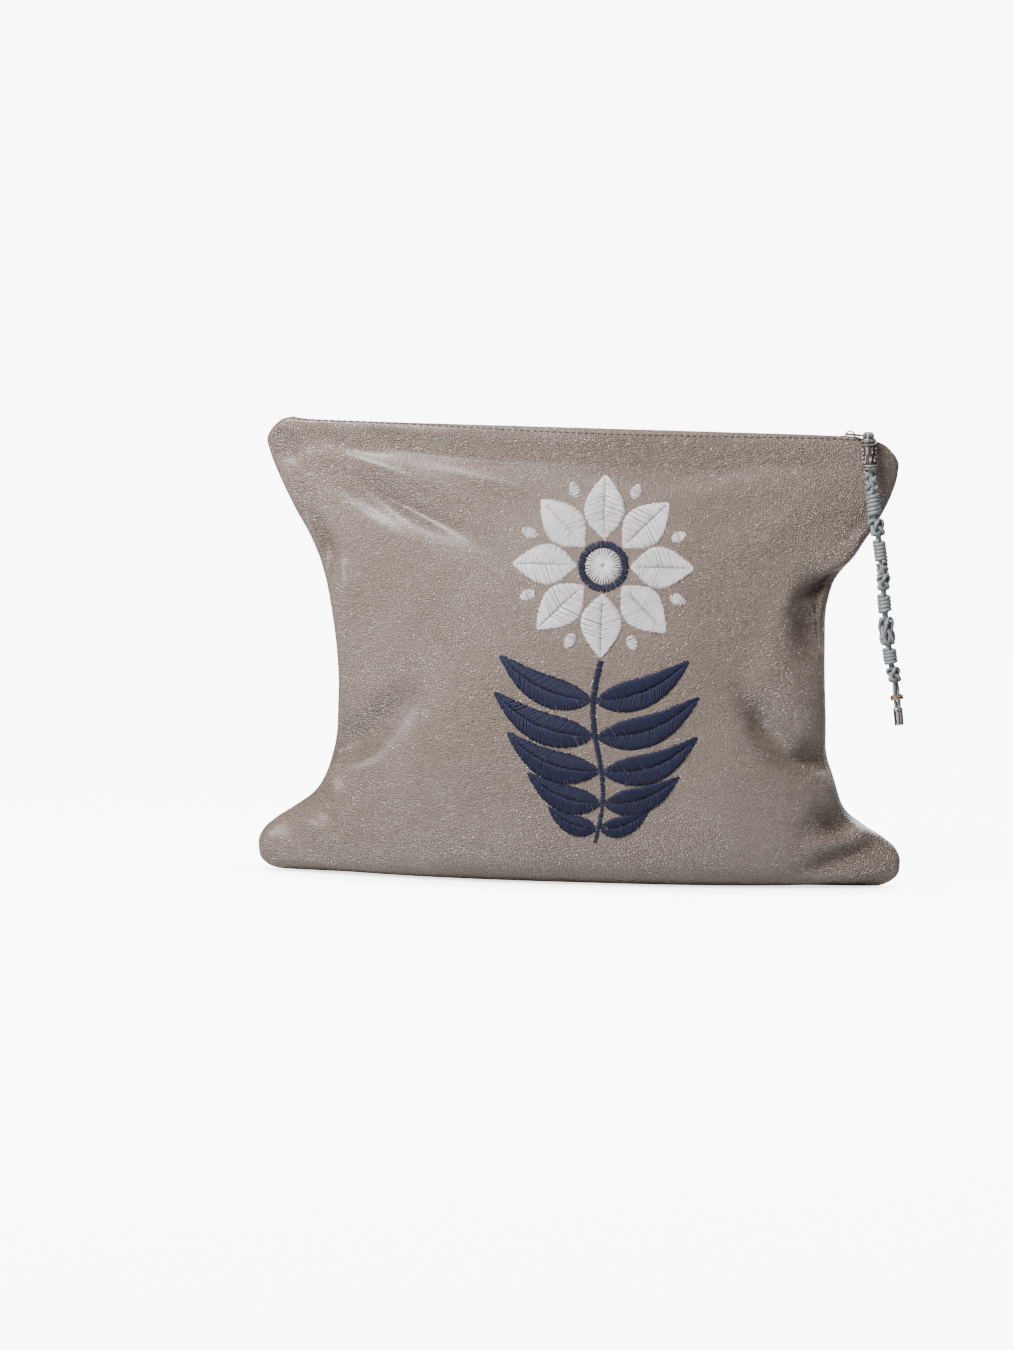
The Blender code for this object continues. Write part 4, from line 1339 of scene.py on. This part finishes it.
@dataclass(frozen=True)
class Petal:
    """A leaf or petal: where it grows from, its direction, its length, width and bend, in metres."""

    x: float
    z: float
    direction: float
    length: float
    width: float
    bend: float = 0.0
    blunt: float = 0.5
    slant: float = 0.0

    def edges(self) -> tuple[np.ndarray, np.ndarray, np.ndarray]:
        """Its two edges and the rib between them.

        Returns:
            Points of the left edge, the rib and the right edge.
        """
        t = np.linspace(0, 1, 40)
        half = self.width / 2 * (np.sin(math.pi * t ** self.blunt) ** 0.85)
        rib = np.stack((t * self.length, self.bend * np.sin(math.pi * t)), axis=1)
        ahead = np.gradient(rib, axis=0)
        ahead /= np.linalg.norm(ahead, axis=1, keepdims=True)
        over = np.stack((-ahead[:, 1], ahead[:, 0]), axis=1)
        back = ahead * self.slant
        place = (self.x, self.z)
        left = turned_to(rib + (over - back) * half[:, None], place, self.direction)
        right = turned_to(rib - (over + back) * half[:, None], place, self.direction)
        return left, turned_to(rib, place, self.direction), right


@dataclass
class Embroidery:
    """A round rosette of eight petals in white above a navy stem with pointed leaves."""

    panel: LeatherPanel
    x: float = 0.009
    rosette_z: float = 0.180
    petals: int = 8
    petal_length: float = 0.0360
    petal_width: float = 0.0232
    petal_start: float = 0.0150
    bud_length: float = 0.0100
    bud_width: float = 0.0062
    bud_start: float = 0.0405
    centre_radius: float = 0.0098
    foot_z: float = 0.026
    stem_top: float = 0.1270
    stem_width: float = 0.0034

    def white(self) -> SatinStitcher:
        """Stitch the petals, the small leaves between them and the rosette's middle."""
        work = SatinStitcher(self.panel)
        for k in range(self.petals):
            angle = 90 + 360 * k / self.petals
            way = np.array((math.cos(math.radians(angle)), math.sin(math.radians(angle))))
            start = np.array((self.x, self.rosette_z)) + way * self.petal_start
            petal = Petal(*start, angle, self.petal_length, self.petal_width, blunt=1.2, slant=0.35)
            left, rib, right = petal.edges()
            work.fill(left, rib)
            work.fill(rib, right)
            between = angle + 180 / self.petals
            way = np.array((math.cos(math.radians(between)), math.sin(math.radians(between))))
            start = np.array((self.x, self.rosette_z)) + way * self.bud_start
            left, _, right = Petal(*start, between, self.bud_length, self.bud_width, blunt=0.9).edges()
            work.fill(left, right)
        return work

    def middle(self, work: SatinStitcher, radius: float, inner: float) -> None:
        """Stitch a ring, or a disc where inner is 0, round the rosette's middle.

        Args:
            work: The stitcher of its colour.
            radius: The ring's outer radius.
            inner: Its inner radius.
        """
        turns = np.linspace(0, 2 * math.pi, 120)
        ring = np.stack((np.cos(turns), np.sin(turns)), axis=1)
        place = np.array((self.x, self.rosette_z))
        work.fill(place + ring * radius, place + ring * inner)

    def navy(self) -> SatinStitcher:
        """Stitch the stem and its leaves."""
        work = SatinStitcher(self.panel)
        heights = np.linspace(self.foot_z, self.stem_top, 60)
        sway = 0.0035 * np.sin((heights - self.foot_z) / (self.stem_top - self.foot_z) * 2 * math.pi)
        half = self.stem_width / 2 * np.linspace(0.55, 1.0, 60)
        work.fill(
            np.stack((self.x + sway - half, heights), axis=1), np.stack((self.x + sway + half, heights), axis=1),
        )
        rows = (
            (0.1050, 0.058, 0.0175, 25.0, 0.006),
            (0.0850, 0.062, 0.0180, 23.0, 0.007),
            (0.0655, 0.057, 0.0175, 22.0, 0.007),
            (0.0475, 0.045, 0.0155, 22.0, 0.005),
            (0.0330, 0.030, 0.0115, 24.0, 0.003),
        )
        for z, length, width, angle, bend in rows:
            shift = float(np.interp(z, heights, sway))
            for way in (1, -1):
                direction = angle if way > 0 else 180 - angle
                petal = Petal(
                    self.x + shift + way * 0.0012, z, direction, length, width, -way * bend, 0.9, 0.6,
                )
                left, rib, right = petal.edges()
                work.fill(left, rib)
                work.fill(rib, right)
        return work

    def build(self, white: bpy.types.Material, navy: bpy.types.Material) -> None:
        """Stitch both colours.

        Args:
            white: The white thread.
            navy: The navy thread.
        """
        light, dark = self.white(), self.navy()
        self.middle(dark, self.petal_start - 0.0008, self.centre_radius + 0.0006)
        self.middle(light, self.centre_radius, 0.0008)
        for work, name, material, slot in (
            (light, "embroidered_rosette", white, "embroidery_white"),
            (dark, "embroidered_leaves", navy, "embroidery_navy"),
        ):
            ride(work.strands.piece(name, material), slot)


# The zip.


@dataclass
class Zip:
    """The zip: its teeth, end stop, slider and openwork puller, and the woven tapes."""

    tooth_pitch: float = 0.0018
    tooth_length: float = 0.0030
    tooth_width: float = 0.0011
    tooth_height: float = 0.0021
    line: np.ndarray = field(default_factory=lambda: np.empty(0))

    def height(self, x: float) -> float:
        """Height of the middle of the teeth at a place along the zip."""
        return float(np.interp(x, self.line[:, 0], self.line[:, 1]))

    def read_line(self) -> None:
        """Read the run of the zip from its CAD bar of teeth."""
        points = node_points("zip_chain")
        places = np.unique(points[:, 0].round(5))
        heights = [points[np.abs(points[:, 0] - x) < 2e-5][:, 2].mean() for x in places]
        self.line = np.stack((places, heights), axis=1)

    def place(self, x: float) -> Matrix:
        """The place and tilt of the zip at x: +X along the teeth and +Z off the zip."""
        step = 0.004
        rise = self.height(x + step) - self.height(x - step)
        return Matrix.Translation((x, 0, self.height(x))) @ Matrix.Rotation(-math.atan2(rise, 2 * step), 4, "Y")

    def tooth(self) -> bpy.types.Object:
        """One tooth: a block with a rounded head that hooks into the other side's teeth.

        Returns:
            The tooth, with its middle at the origin and its head towards +Y.
        """
        bpy.ops.object.select_all(action="DESELECT")
        bpy.ops.mesh.primitive_cube_add(size=1.0)
        item = bpy.context.active_object
        item.name = "tooth"
        item.scale = (self.tooth_width, self.tooth_length, self.tooth_height)
        apply_place(item)
        head = [face.index for face in item.data.polygons if face.normal.y > 0.9]
        bpy.ops.object.mode_set(mode="EDIT")
        bpy.ops.mesh.select_all(action="DESELECT")
        bpy.ops.object.mode_set(mode="OBJECT")
        select_faces(item, head)
        bpy.ops.object.mode_set(mode="EDIT")
        bpy.ops.mesh.select_mode(type="FACE")
        bpy.ops.mesh.inset(thickness=self.tooth_width * 0.22)
        bpy.ops.transform.translate(value=(0, self.tooth_width * 0.35, 0))
        bpy.ops.object.mode_set(mode="OBJECT")
        bevel_edges(item, self.tooth_width * 0.16, 1)
        return item

    def teeth(self, material: bpy.types.Material) -> None:
        """Set the teeth from both sides along the zip.

        Args:
            material: Their metal.
        """
        model = self.tooth()
        start, end = self.line[0, 0] + self.tooth_width / 2, self.line[-1, 0] - self.tooth_width / 2
        count = int((end - start) / self.tooth_pitch) + 1
        copies = []
        for k in range(count):
            side = 1 if k % 2 else -1
            turn = Matrix.Rotation(0 if side < 0 else math.pi, 4, "Z")
            shift = Matrix.Translation((0, side * 0.0006, 0))
            copies.append(copy_to(model, self.place(start + k * self.tooth_pitch) @ shift @ turn))
        bpy.data.objects.remove(model)
        piece = join(copies, "zip_teeth")
        piece.data.materials.append(material)
        smooth_by_angle(piece)
        ride(piece, "nickel", "zip_chain")

    def build(self, metal: bpy.types.Material, tape: bpy.types.Material) -> None:
        """Build the teeth and dress the CAD nodes of the zip.

        Args:
            metal: The plated metal.
            tape: The woven tape.
        """
        self.read_line()
        self.teeth(metal)
        for name, edge in (("zip_stop", 0.00025), ("zip_slider", 0.00018), ("zip_puller", 0.00040)):
            piece = new_object("rounded_" + name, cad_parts[name].data.copy())
            piece.data.transform(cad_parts[name].matrix_world)
            bevel_edges(piece, edge, 3, 40.0)
            piece.data.materials.clear()
            piece.data.materials.append(metal)
            smooth_by_angle(piece)
            ride(piece, "nickel", name)
        for name in ("zip_tape_front", "zip_tape_back"):
            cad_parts[name].data.materials.clear()
            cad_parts[name].data.materials.append(tape)


# The metal pieces of the cord pull.


@dataclass
class Seat:
    """Where a round CAD piece sits on the pull: its foot, the way up it, its length and its radius."""

    node: str
    up: Vector

    def __post_init__(self) -> None:
        """Measure the piece along its axis."""
        points = node_points(self.node)
        way = np.array(self.up.normalized())
        heights = points @ way
        self.length = float(np.ptp(heights))
        ends = [points[np.abs(heights - level) < 1e-5].mean(axis=0) for level in (heights.min(), heights.max())]
        centre = (ends[0] + ends[1]) / 2
        off = points - centre - np.outer((points - centre) @ way, way)
        self.radius = float(np.linalg.norm(off, axis=1).max())
        self.inner = float(np.linalg.norm(off, axis=1).min())
        foot = centre - way * self.length / 2
        turn = self.up.to_track_quat("Z", "Y").to_matrix().to_4x4()
        self.place = Matrix.Translation(Vector(foot)) @ turn


def turned(name: str, profile: Sequence[tuple[float, float, float]], sides: int, closed: bool) -> bpy.types.Object:
    """A turned piece, drawn up from its foot ring by ring.

    Args:
        name: Its name.
        profile: Rows of radius, height and how deep in a recess the row is, from 0 to 1.
        sides: Its sides.
        closed: Whether the last row meets the first, as in a tube.

    Returns:
        The piece, standing at the origin.
    """
    radius, height, _ = profile[0]
    bpy.ops.object.select_all(action="DESELECT")
    bpy.ops.mesh.primitive_circle_add(vertices=sides, radius=radius, fill_type="NOTHING", location=(0, 0, height))
    item = bpy.context.active_object
    item.name = name
    apply_place(item)
    bpy.ops.object.mode_set(mode="EDIT")
    bpy.ops.mesh.select_mode(type="EDGE")
    bpy.ops.mesh.select_all(action="SELECT")
    rows = list(profile[1:]) + ([profile[0]] if closed else [])
    for next_radius, next_height, _ in rows:
        bpy.ops.mesh.extrude_edges_move(TRANSFORM_OT_translate={"value": (0, 0, next_height - height)})
        scale = next_radius / radius
        bpy.ops.transform.resize(value=(scale, scale, 1), center_override=(0, 0, next_height))
        radius, height = next_radius, next_height
    if not closed:
        bpy.ops.mesh.edge_face_add()
    bpy.ops.mesh.select_all(action="SELECT")
    bpy.ops.mesh.remove_doubles(threshold=0.00001)
    if not closed:
        bpy.ops.mesh.region_to_loop()
        bpy.ops.mesh.edge_face_add()
    bpy.ops.mesh.select_all(action="SELECT")
    bpy.ops.mesh.normals_make_consistent(inside=False)
    bpy.ops.object.mode_set(mode="OBJECT")
    table = np.array(profile)
    values = []
    for vertex in item.data.vertices:
        near = np.hypot(table[:, 0] - math.hypot(vertex.co.x, vertex.co.y), table[:, 1] - vertex.co.z)
        values.append(float(table[int(near.argmin()), 2]))
    item.data.attributes.new("recess", "FLOAT", "POINT").data.foreach_set("value", values)
    return item


@dataclass
class SilverBead:
    """The tube bead: collars and grooves at both ends, and a body with raised scrolls and pellets."""

    seat: Seat
    sides: int = 40
    around: int = 8
    rows: int = 2
    curl: float = 0.00098
    wire: float = 0.00021

    def tube(self) -> bpy.types.Object:
        """Turn the tube with its collars."""
        r, bore, length = self.seat.radius, self.seat.inner, self.seat.length
        shares = (
            (bore, 0.00, 1.0), (r * 0.93, 0.00, 0.2), (r * 0.99, 0.015, 0.0), (r * 0.99, 0.045, 0.0),
            (r * 0.93, 0.058, 0.8), (r * 0.86, 0.066, 1.0), (r * 0.86, 0.078, 1.0), (r * 0.96, 0.090, 0.1),
            (r * 0.99, 0.105, 0.0), (r * 0.99, 0.130, 0.0), (r * 0.94, 0.144, 0.3), (r * 0.84, 0.156, 1.0),
            (r * 0.86, 0.180, 1.0), (r * 0.86, 0.740, 1.0), (r * 0.84, 0.765, 1.0), (r * 0.94, 0.778, 0.3),
            (r, 0.795, 0.0), (r, 0.830, 0.0), (r * 0.92, 0.845, 0.7), (r * 0.84, 0.858, 1.0),
            (r * 0.84, 0.880, 1.0), (r * 0.94, 0.895, 0.3), (r, 0.915, 0.0), (r, 0.965, 0.0),
            (r * 0.90, 1.00, 0.2), (bore, 1.00, 1.0),
        )
        return turned("tube", [(a, b * length, c) for a, b, c in shares], self.sides, True)

    def scroll(self) -> bpy.types.Object:
        """One raised scroll: two half rings that meet as an S, with a pellet at each end."""
        parts = []
        for way in (1, -1):
            bpy.ops.object.select_all(action="DESELECT")
            bpy.ops.mesh.primitive_torus_add(
                major_segments=24, minor_segments=8, major_radius=self.curl, minor_radius=self.wire,
                location=(0, 0, 0), rotation=(math.pi / 2, 0, 0),
            )
            ring = bpy.context.active_object
            apply_place(ring)
            bpy.ops.object.mode_set(mode="EDIT")
            bpy.ops.mesh.select_all(action="SELECT")
            bpy.ops.mesh.bisect(
                plane_co=(way * self.curl * 0.25, 0, 0), plane_no=(way, 0, 0), clear_inner=True, use_fill=True)
            bpy.ops.object.mode_set(mode="OBJECT")
            ring.data.transform(Matrix.Translation((-way * self.curl * 0.3, 0, way * self.curl)))
            parts.append(ring)
            bpy.ops.mesh.primitive_uv_sphere_add(
                segments=10, ring_count=6, radius=self.wire * 1.7,
                location=(-way * self.curl * 0.15, 0, way * self.curl),
            )
            apply_place(bpy.context.active_object)
            parts.append(bpy.context.active_object)
        return join(parts, "scroll")

    def build(self, material: bpy.types.Material) -> bpy.types.Object:
        """Join the tube and its scrolls.

        Args:
            material: The silver.

        Returns:
            The bead.
        """
        parts = [self.tube()]
        model = self.scroll()
        first, last = 0.18 * self.seat.length, 0.74 * self.seat.length
        for row in range(self.rows):
            height = first + (last - first) * (row + 0.5) / self.rows
            for k in range(self.around):
                turn = Matrix.Rotation(2 * math.pi * (k + row / 2) / self.around, 4, "Z")
                out = Matrix.Translation((0, -self.seat.radius * 0.875, height))
                parts.append(copy_to(model, turn @ out))
        bpy.data.objects.remove(model)
        return seated(join(parts, "silver_bead"), self.seat, material, "oxidised_silver")


def seated(
    piece: bpy.types.Object, seat: Seat, material: bpy.types.Material, slot: str,
) -> bpy.types.Object:
    """Put a piece into its seat in place of the CAD piece there.

    Args:
        piece: The piece, standing at the origin.
        seat: Its seat.
        material: Its metal.
        slot: Its material slot in the record; not used.

    Returns:
        The piece.
    """
    piece.data.transform(seat.place)
    piece.data.materials.clear()
    piece.data.materials.append(material)
    smooth_by_angle(piece)
    ride(piece, slot, seat.node)
    return piece


@dataclass
class CopperRing:
    """The copper ring: a band with two rounded beads and a groove between them."""

    seat: Seat
    sides: int = 36

    def build(self, material: bpy.types.Material) -> bpy.types.Object:
        """Turn the ring.

        Args:
            material: The copper.

        Returns:
            The ring.
        """
        r, bore, length = self.seat.radius, self.seat.inner, self.seat.length
        wall = r - bore
        rows = (
            (bore, 0.0, 0.6), (bore + wall * 0.55, 0.0, 0.1), (r * 0.985, 0.12, 0.0), (r, 0.24, 0.0),
            (r * 0.985, 0.36, 0.0), (bore + wall * 0.62, 0.46, 1.0), (bore + wall * 0.62, 0.54, 1.0),
            (r * 0.985, 0.64, 0.0), (r, 0.76, 0.0), (r * 0.985, 0.88, 0.0), (bore + wall * 0.55, 1.0, 0.1),
            (bore, 1.0, 0.6),
        )
        piece = turned("copper_ring", [(a, b * length, c) for a, b, c in rows], self.sides, True)
        return seated(piece, self.seat, material, "copper")


@dataclass
class EndCap:
    """The end cap: a cup with a collar at each end and a row of upright slots between them."""

    seat: Seat
    slots: int = 9
    slot_depth: float = 0.00045
    margin: float = 0.00016
    wall: float = 0.0005
    bore_share: float = 0.57

    def build(self, material: bpy.types.Material) -> bpy.types.Object:
        """Turn the cup and sink its slots.

        Args:
            material: The silver.

        Returns:
            The cap.
        """
        r, length = self.seat.radius, self.seat.length
        rows = (
            (r * 0.55, 0.0, 0.3), (r * 0.86, 0.005, 0.0), (r * 0.98, 0.05, 0.0), (r * 0.98, 0.12, 0.0),
            (r * 0.90, 0.14, 1.0), (r * 0.90, 0.17, 1.0), (r * 0.96, 0.19, 0.0), (r * 0.96, 0.76, 0.0),
            (r * 0.90, 0.78, 1.0), (r * 0.90, 0.81, 1.0), (r, 0.84, 0.0), (r, 0.96, 0.0),
            (r * 0.93, 1.0, 0.0), (r - self.wall, 1.0, 0.4), (r - self.wall, self.bore_share, 1.0),
            (r * 0.10, self.bore_share, 1.0),
        )
        sides = self.slots * 3
        piece = turned("slotted_cap", [(a, b * length, c) for a, b, c in rows], sides, False)
        faces = []
        for face in piece.data.polygons:
            out = math.hypot(face.normal.x, face.normal.y)
            turn = math.atan2(face.center.y, face.center.x) / (2 * math.pi) * sides
            if out > 0.99 and 0.3 * length < face.center.z < 0.6 * length and round(turn - 0.5) % 3 == 0:
                if math.hypot(face.center.x, face.center.y) > r * 0.9:
                    faces.append(face.index)
        select_faces(piece, faces)
        bpy.ops.object.mode_set(mode="EDIT")
        bpy.ops.mesh.select_mode(type="FACE")
        bpy.ops.mesh.inset(thickness=self.margin, depth=-self.slot_depth, use_individual=True)
        bpy.ops.object.mode_set(mode="OBJECT")
        recess = piece.data.attributes["recess"].data
        for face in piece.data.polygons:
            if face.select:
                for index in face.vertices:
                    recess[index].value = 1.0
        return seated(piece, self.seat, material, "oxidised_silver")


# The cord pull.


class Lay(Enum):
    """How the strands lie along a stretch of the pull."""

    STRAIGHT = "straight"
    PLAIT = "plait"
    WRAP = "wrap"
    KNOT = "knot"


@dataclass(frozen=True)
class Stretch:
    """A stretch of the pull: how its strands lie, from and to which drop under the bar, and its radius."""

    lay: Lay
    start: float
    end: float
    radius: float
    turns: float = 1.0


STRETCHES = (
    Stretch(Lay.PLAIT, 0.0170, 0.0300, 0.0036, 1.1),
    Stretch(Lay.WRAP, 0.0302, 0.0452, 0.00415, 5.4),
    Stretch(Lay.KNOT, 0.0462, 0.0562, 0.0051, 4.0),
    Stretch(Lay.WRAP, 0.0575, 0.0718, 0.0039, 6.0),
    Stretch(Lay.PLAIT, 0.0720, 0.0790, 0.0037, 0.6),
    Stretch(Lay.KNOT, 0.0775, 0.0868, 0.0044, 4.0),
    Stretch(Lay.WRAP, 0.0880, 0.1004, 0.0041, 4.6),
    Stretch(Lay.KNOT, 0.1015, 0.1178, 0.0052, 5.0),
    Stretch(Lay.WRAP, 0.1184, 0.1286, 0.0042, 4.2),
    Stretch(Lay.KNOT, 0.1296, 0.1386, 0.0045, 4.0),
    Stretch(Lay.STRAIGHT, 0.1376, 0.1568, 0.0022, 0.3),
)


@dataclass
class CordPull:
    """The pull: strands over the puller's bar, plaits, wraps and knots down to a ring and an end cap."""

    bar: Point = (0.1563, -0.0115, 0.2570)
    bar_turn: float = -50.0
    rod: float = 0.0013
    strand: float = 0.00105
    loop_strand: float = 0.00086
    core: float = 0.0017
    clearance: float = 0.0003
    diameter: float = 0.0083
    ring_span: tuple[float, float] = (0.1342, 0.1470)
    route: tuple[Point, ...] = (
        (-0.0001, 0.0, -0.0031), (0.0014, 0.0, -0.0180), (0.0018, 0.0, -0.0208), (0.0026, -0.0001, -0.0247),
        (0.0034, -0.0001, -0.0305), (0.0049, -0.0001, -0.0450), (0.0066, -0.0001, -0.0510),
        (0.0077, -0.0002, -0.0578), (0.0100, -0.0002, -0.0714), (0.0112, -0.0002, -0.0797),
        (0.0115, -0.0003, -0.0878), (0.0129, -0.0003, -0.1000), (0.0138, -0.0003, -0.1090),
        (0.0152, -0.0003, -0.1162), (0.0156, -0.0004, -0.1186), (0.0171, -0.0004, -0.1280),
        (0.0180, -0.0004, -0.1304), (0.0190, -0.0004, -0.1342), (0.0201, -0.0004, -0.1390),
        (0.0211, -0.0005, -0.1470), (0.0223, -0.0005, -0.1570),
    )
    strands: Strands = field(default_factory=lambda: Strands(sides=8))

    def axis_at(self, drops: np.ndarray) -> np.ndarray:
        """Points on the pull's middle line at given drops under the bar."""
        table = np.array(self.route)
        order = np.argsort(-table[:, 2])
        ways = [np.interp(drops, -table[order, 2], table[order, k]) for k in (0, 1)]
        return np.stack((ways[0], ways[1], -drops), axis=1) + np.array(self.bar)

    def way_up(self, high: float, low: float) -> Vector:
        """The way up the pull between two drops under the bar."""
        ends = self.axis_at(np.array((high, low)))
        return Vector(ends[0] - ends[1]).normalized()

    def around(self, drops: np.ndarray, turns: np.ndarray, radius: np.ndarray) -> np.ndarray:
        """Points round the middle line.

        Args:
            drops: Drop of each point under the bar.
            turns: Its turn round the line, in radians from the front.
            radius: Its distance from the line.

        Returns:
            The points.
        """
        middle = self.axis_at(drops)
        lean = np.array(self.route[-1]) - np.array(self.route[0])
        ahead = lean / np.linalg.norm(lean)
        front = np.array((0.0, -1.0, 0.0))
        front -= np.dot(front, ahead) * ahead
        front /= np.linalg.norm(front)
        over = np.cross(ahead, front)
        return middle + radius[:, None] * (
            np.cos(turns)[:, None] * front + np.sin(turns)[:, None] * over
        )

    def wrap(self, part: Stretch) -> None:
        """Wind a strand round the core, turn beside turn."""
        count = int(part.turns * 22)
        pitch = (part.end - part.start) / part.turns
        size = min(self.strand * 1.28, pitch * 0.52)
        drops = np.linspace(part.start + size, part.end - size, count)
        turns = np.linspace(0, part.turns * 2 * math.pi, count)
        self.strands.add(self.around(drops, turns, np.full(count, part.radius - size)), size)

    def plait(self, part: Stretch, strands: int = 4) -> None:
        """Plait four strands, two turning each way, over and under."""
        count = int((part.end - part.start) / 0.0004)
        share = np.linspace(0, 1, count)
        drops = part.start + (part.end - part.start) * share
        swing = share * part.turns * 2 * math.pi
        for k in range(strands):
            way = 1 if k % 2 else -1
            turns = way * swing + 2 * math.pi * k / strands
            weave = np.cos(2 * swing + (0 if way > 0 else math.pi))
            radius = part.radius - 2 * self.strand + weave * self.strand
            self.strands.add(self.around(drops, turns, radius), self.strand)

    def knot(self, part: Stretch) -> None:
        """Tie a knot of three interlaced rounds of one strand."""
        bights, leads = int(part.turns), 3
        count = bights * 40
        t = np.linspace(0, 2 * math.pi, count, endpoint=False)
        half = (part.end - part.start) / 2 - self.strand
        drops = (part.start + part.end) / 2 + half * np.cos(bights * t)
        weave = np.sin(bights * (leads - 1) * t)
        belly = 1 - 0.22 * np.cos(bights * t) ** 2
        radius = (part.radius - 2 * self.strand) * belly + weave * self.strand
        self.strands.add(self.around(drops, leads * t, radius), self.strand, closed=True)

    def straight(self, part: Stretch) -> None:
        """Lay two strands side by side with a slight twist."""
        count = 24
        drops = np.linspace(part.start, part.end, count)
        for side in (0, math.pi):
            turns = math.pi / 2 + side + np.linspace(-0.5, 0.5, count) * part.turns * 2 * math.pi
            size = min(self.strand, part.radius / 2)
            self.strands.add(self.around(drops, turns, np.full(count, size)), size * 0.97)

    def loops(self) -> None:
        """Pass three strands side by side over the puller's bar and down into the bead."""
        turn = math.radians(self.bar_turn)
        out = np.array((math.cos(turn), math.sin(turn), 0.0))
        along = np.array((-math.sin(turn), math.cos(turn), 0.0))
        up = np.array((0.0, 0.0, 1.0))
        over = self.rod / 2 + 0.0002 + self.loop_strand
        bar = np.array(self.bar)
        for place in (-1.0, 0.0, 1.0):
            side = along * place * (self.loop_strand * 2 + 0.00006)
            inside = along * place * 0.0012
            path = [bar + inside + out * 0.0010 - up * 0.0060, bar + (inside + side) / 2 + out * 0.0011 - up * 0.0026]
            for degrees in range(-20, 201, 20):
                angle = math.radians(degrees)
                path.append(bar + side + out * over * math.cos(angle) + up * over * math.sin(angle))
            path += [bar + (inside + side) / 2 - out * 0.0011 - up * 0.0026, bar + inside - out * 0.0010 - up * 0.0060]
            smooth = finer(np.array(path), 3)
            self.strands.add(smooth, self.loop_strand)

    def build(self, material: bpy.types.Material, ends: Sequence[bpy.types.Object]) -> bpy.types.Object:
        """Args:
            material: The cord's leather.
            ends: The bead, ring and cap that are on it; not used.

        Returns:
            The pull's strands as one piece.
        """
        makers = {Lay.WRAP: self.wrap, Lay.PLAIT: self.plait, Lay.KNOT: self.knot, Lay.STRAIGHT: self.straight}
        self.loops()
        drops = np.linspace(0.0050, 0.1370, 66)
        self.strands.add(self.axis_at(drops), self.core)
        for part in STRETCHES:
            makers[part.lay](part)
        piece = self.strands.piece("knotted_pull", material)
        ride(piece, "cord", "pull_cord", "pull_loop")
        return piece


def main() -> None:
    """Build the studio and every piece of the bag, in order."""
    logging.basicConfig(level=logging.INFO, format="%(name)s %(message)s")
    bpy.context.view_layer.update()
    Studio().build()
    silver = Metal("oxidised_silver", (0.70, 0.665, 0.63), (0.085, 0.072, 0.064), tarnish_share=0.25).material()
    copper = Metal("copper", (0.72, 0.44, 0.31), (0.30, 0.17, 0.11)).material()
    nickel = Metal("nickel", (0.66, 0.645, 0.615), (0.30, 0.285, 0.265)).material()
    pull = CordPull()
    ends = [
        SilverBead(Seat("pull_bead", pull.way_up(0.0031, 0.0180))).build(silver),
        CopperRing(Seat("pull_ring", pull.way_up(*pull.ring_span))).build(copper),
        EndCap(Seat("pull_cap", pull.way_up(0.1470, 0.1570))).build(silver),
    ]
    pull.build(CordHide().material(), ends)
    leather = Leather().material()
    front = LeatherPanel("front_panel", -1, FRONT_FOLDS, 3)
    back = LeatherPanel("back_panel", 1, BACK_FOLDS, 8)
    stitching = Thread("topstitch_thread", (0.115, 0.095, 0.082), (0.060, 0.050, 0.044)).material()
    for panel in (front, back):
        panel.build(leather)
        Topstitching(panel).build(stitching)
    white = Thread("white_thread", (0.68, 0.645, 0.655), (0.34, 0.31, 0.32)).material()
    navy = Thread("navy_thread", (0.0065, 0.0090, 0.0400), (0.0020, 0.0030, 0.0140), sheen=0.02).material()
    Embroidery(front).build(white, navy)
    Zip().build(nickel, WovenTape().material())


if __name__ == "__main__":
    main()
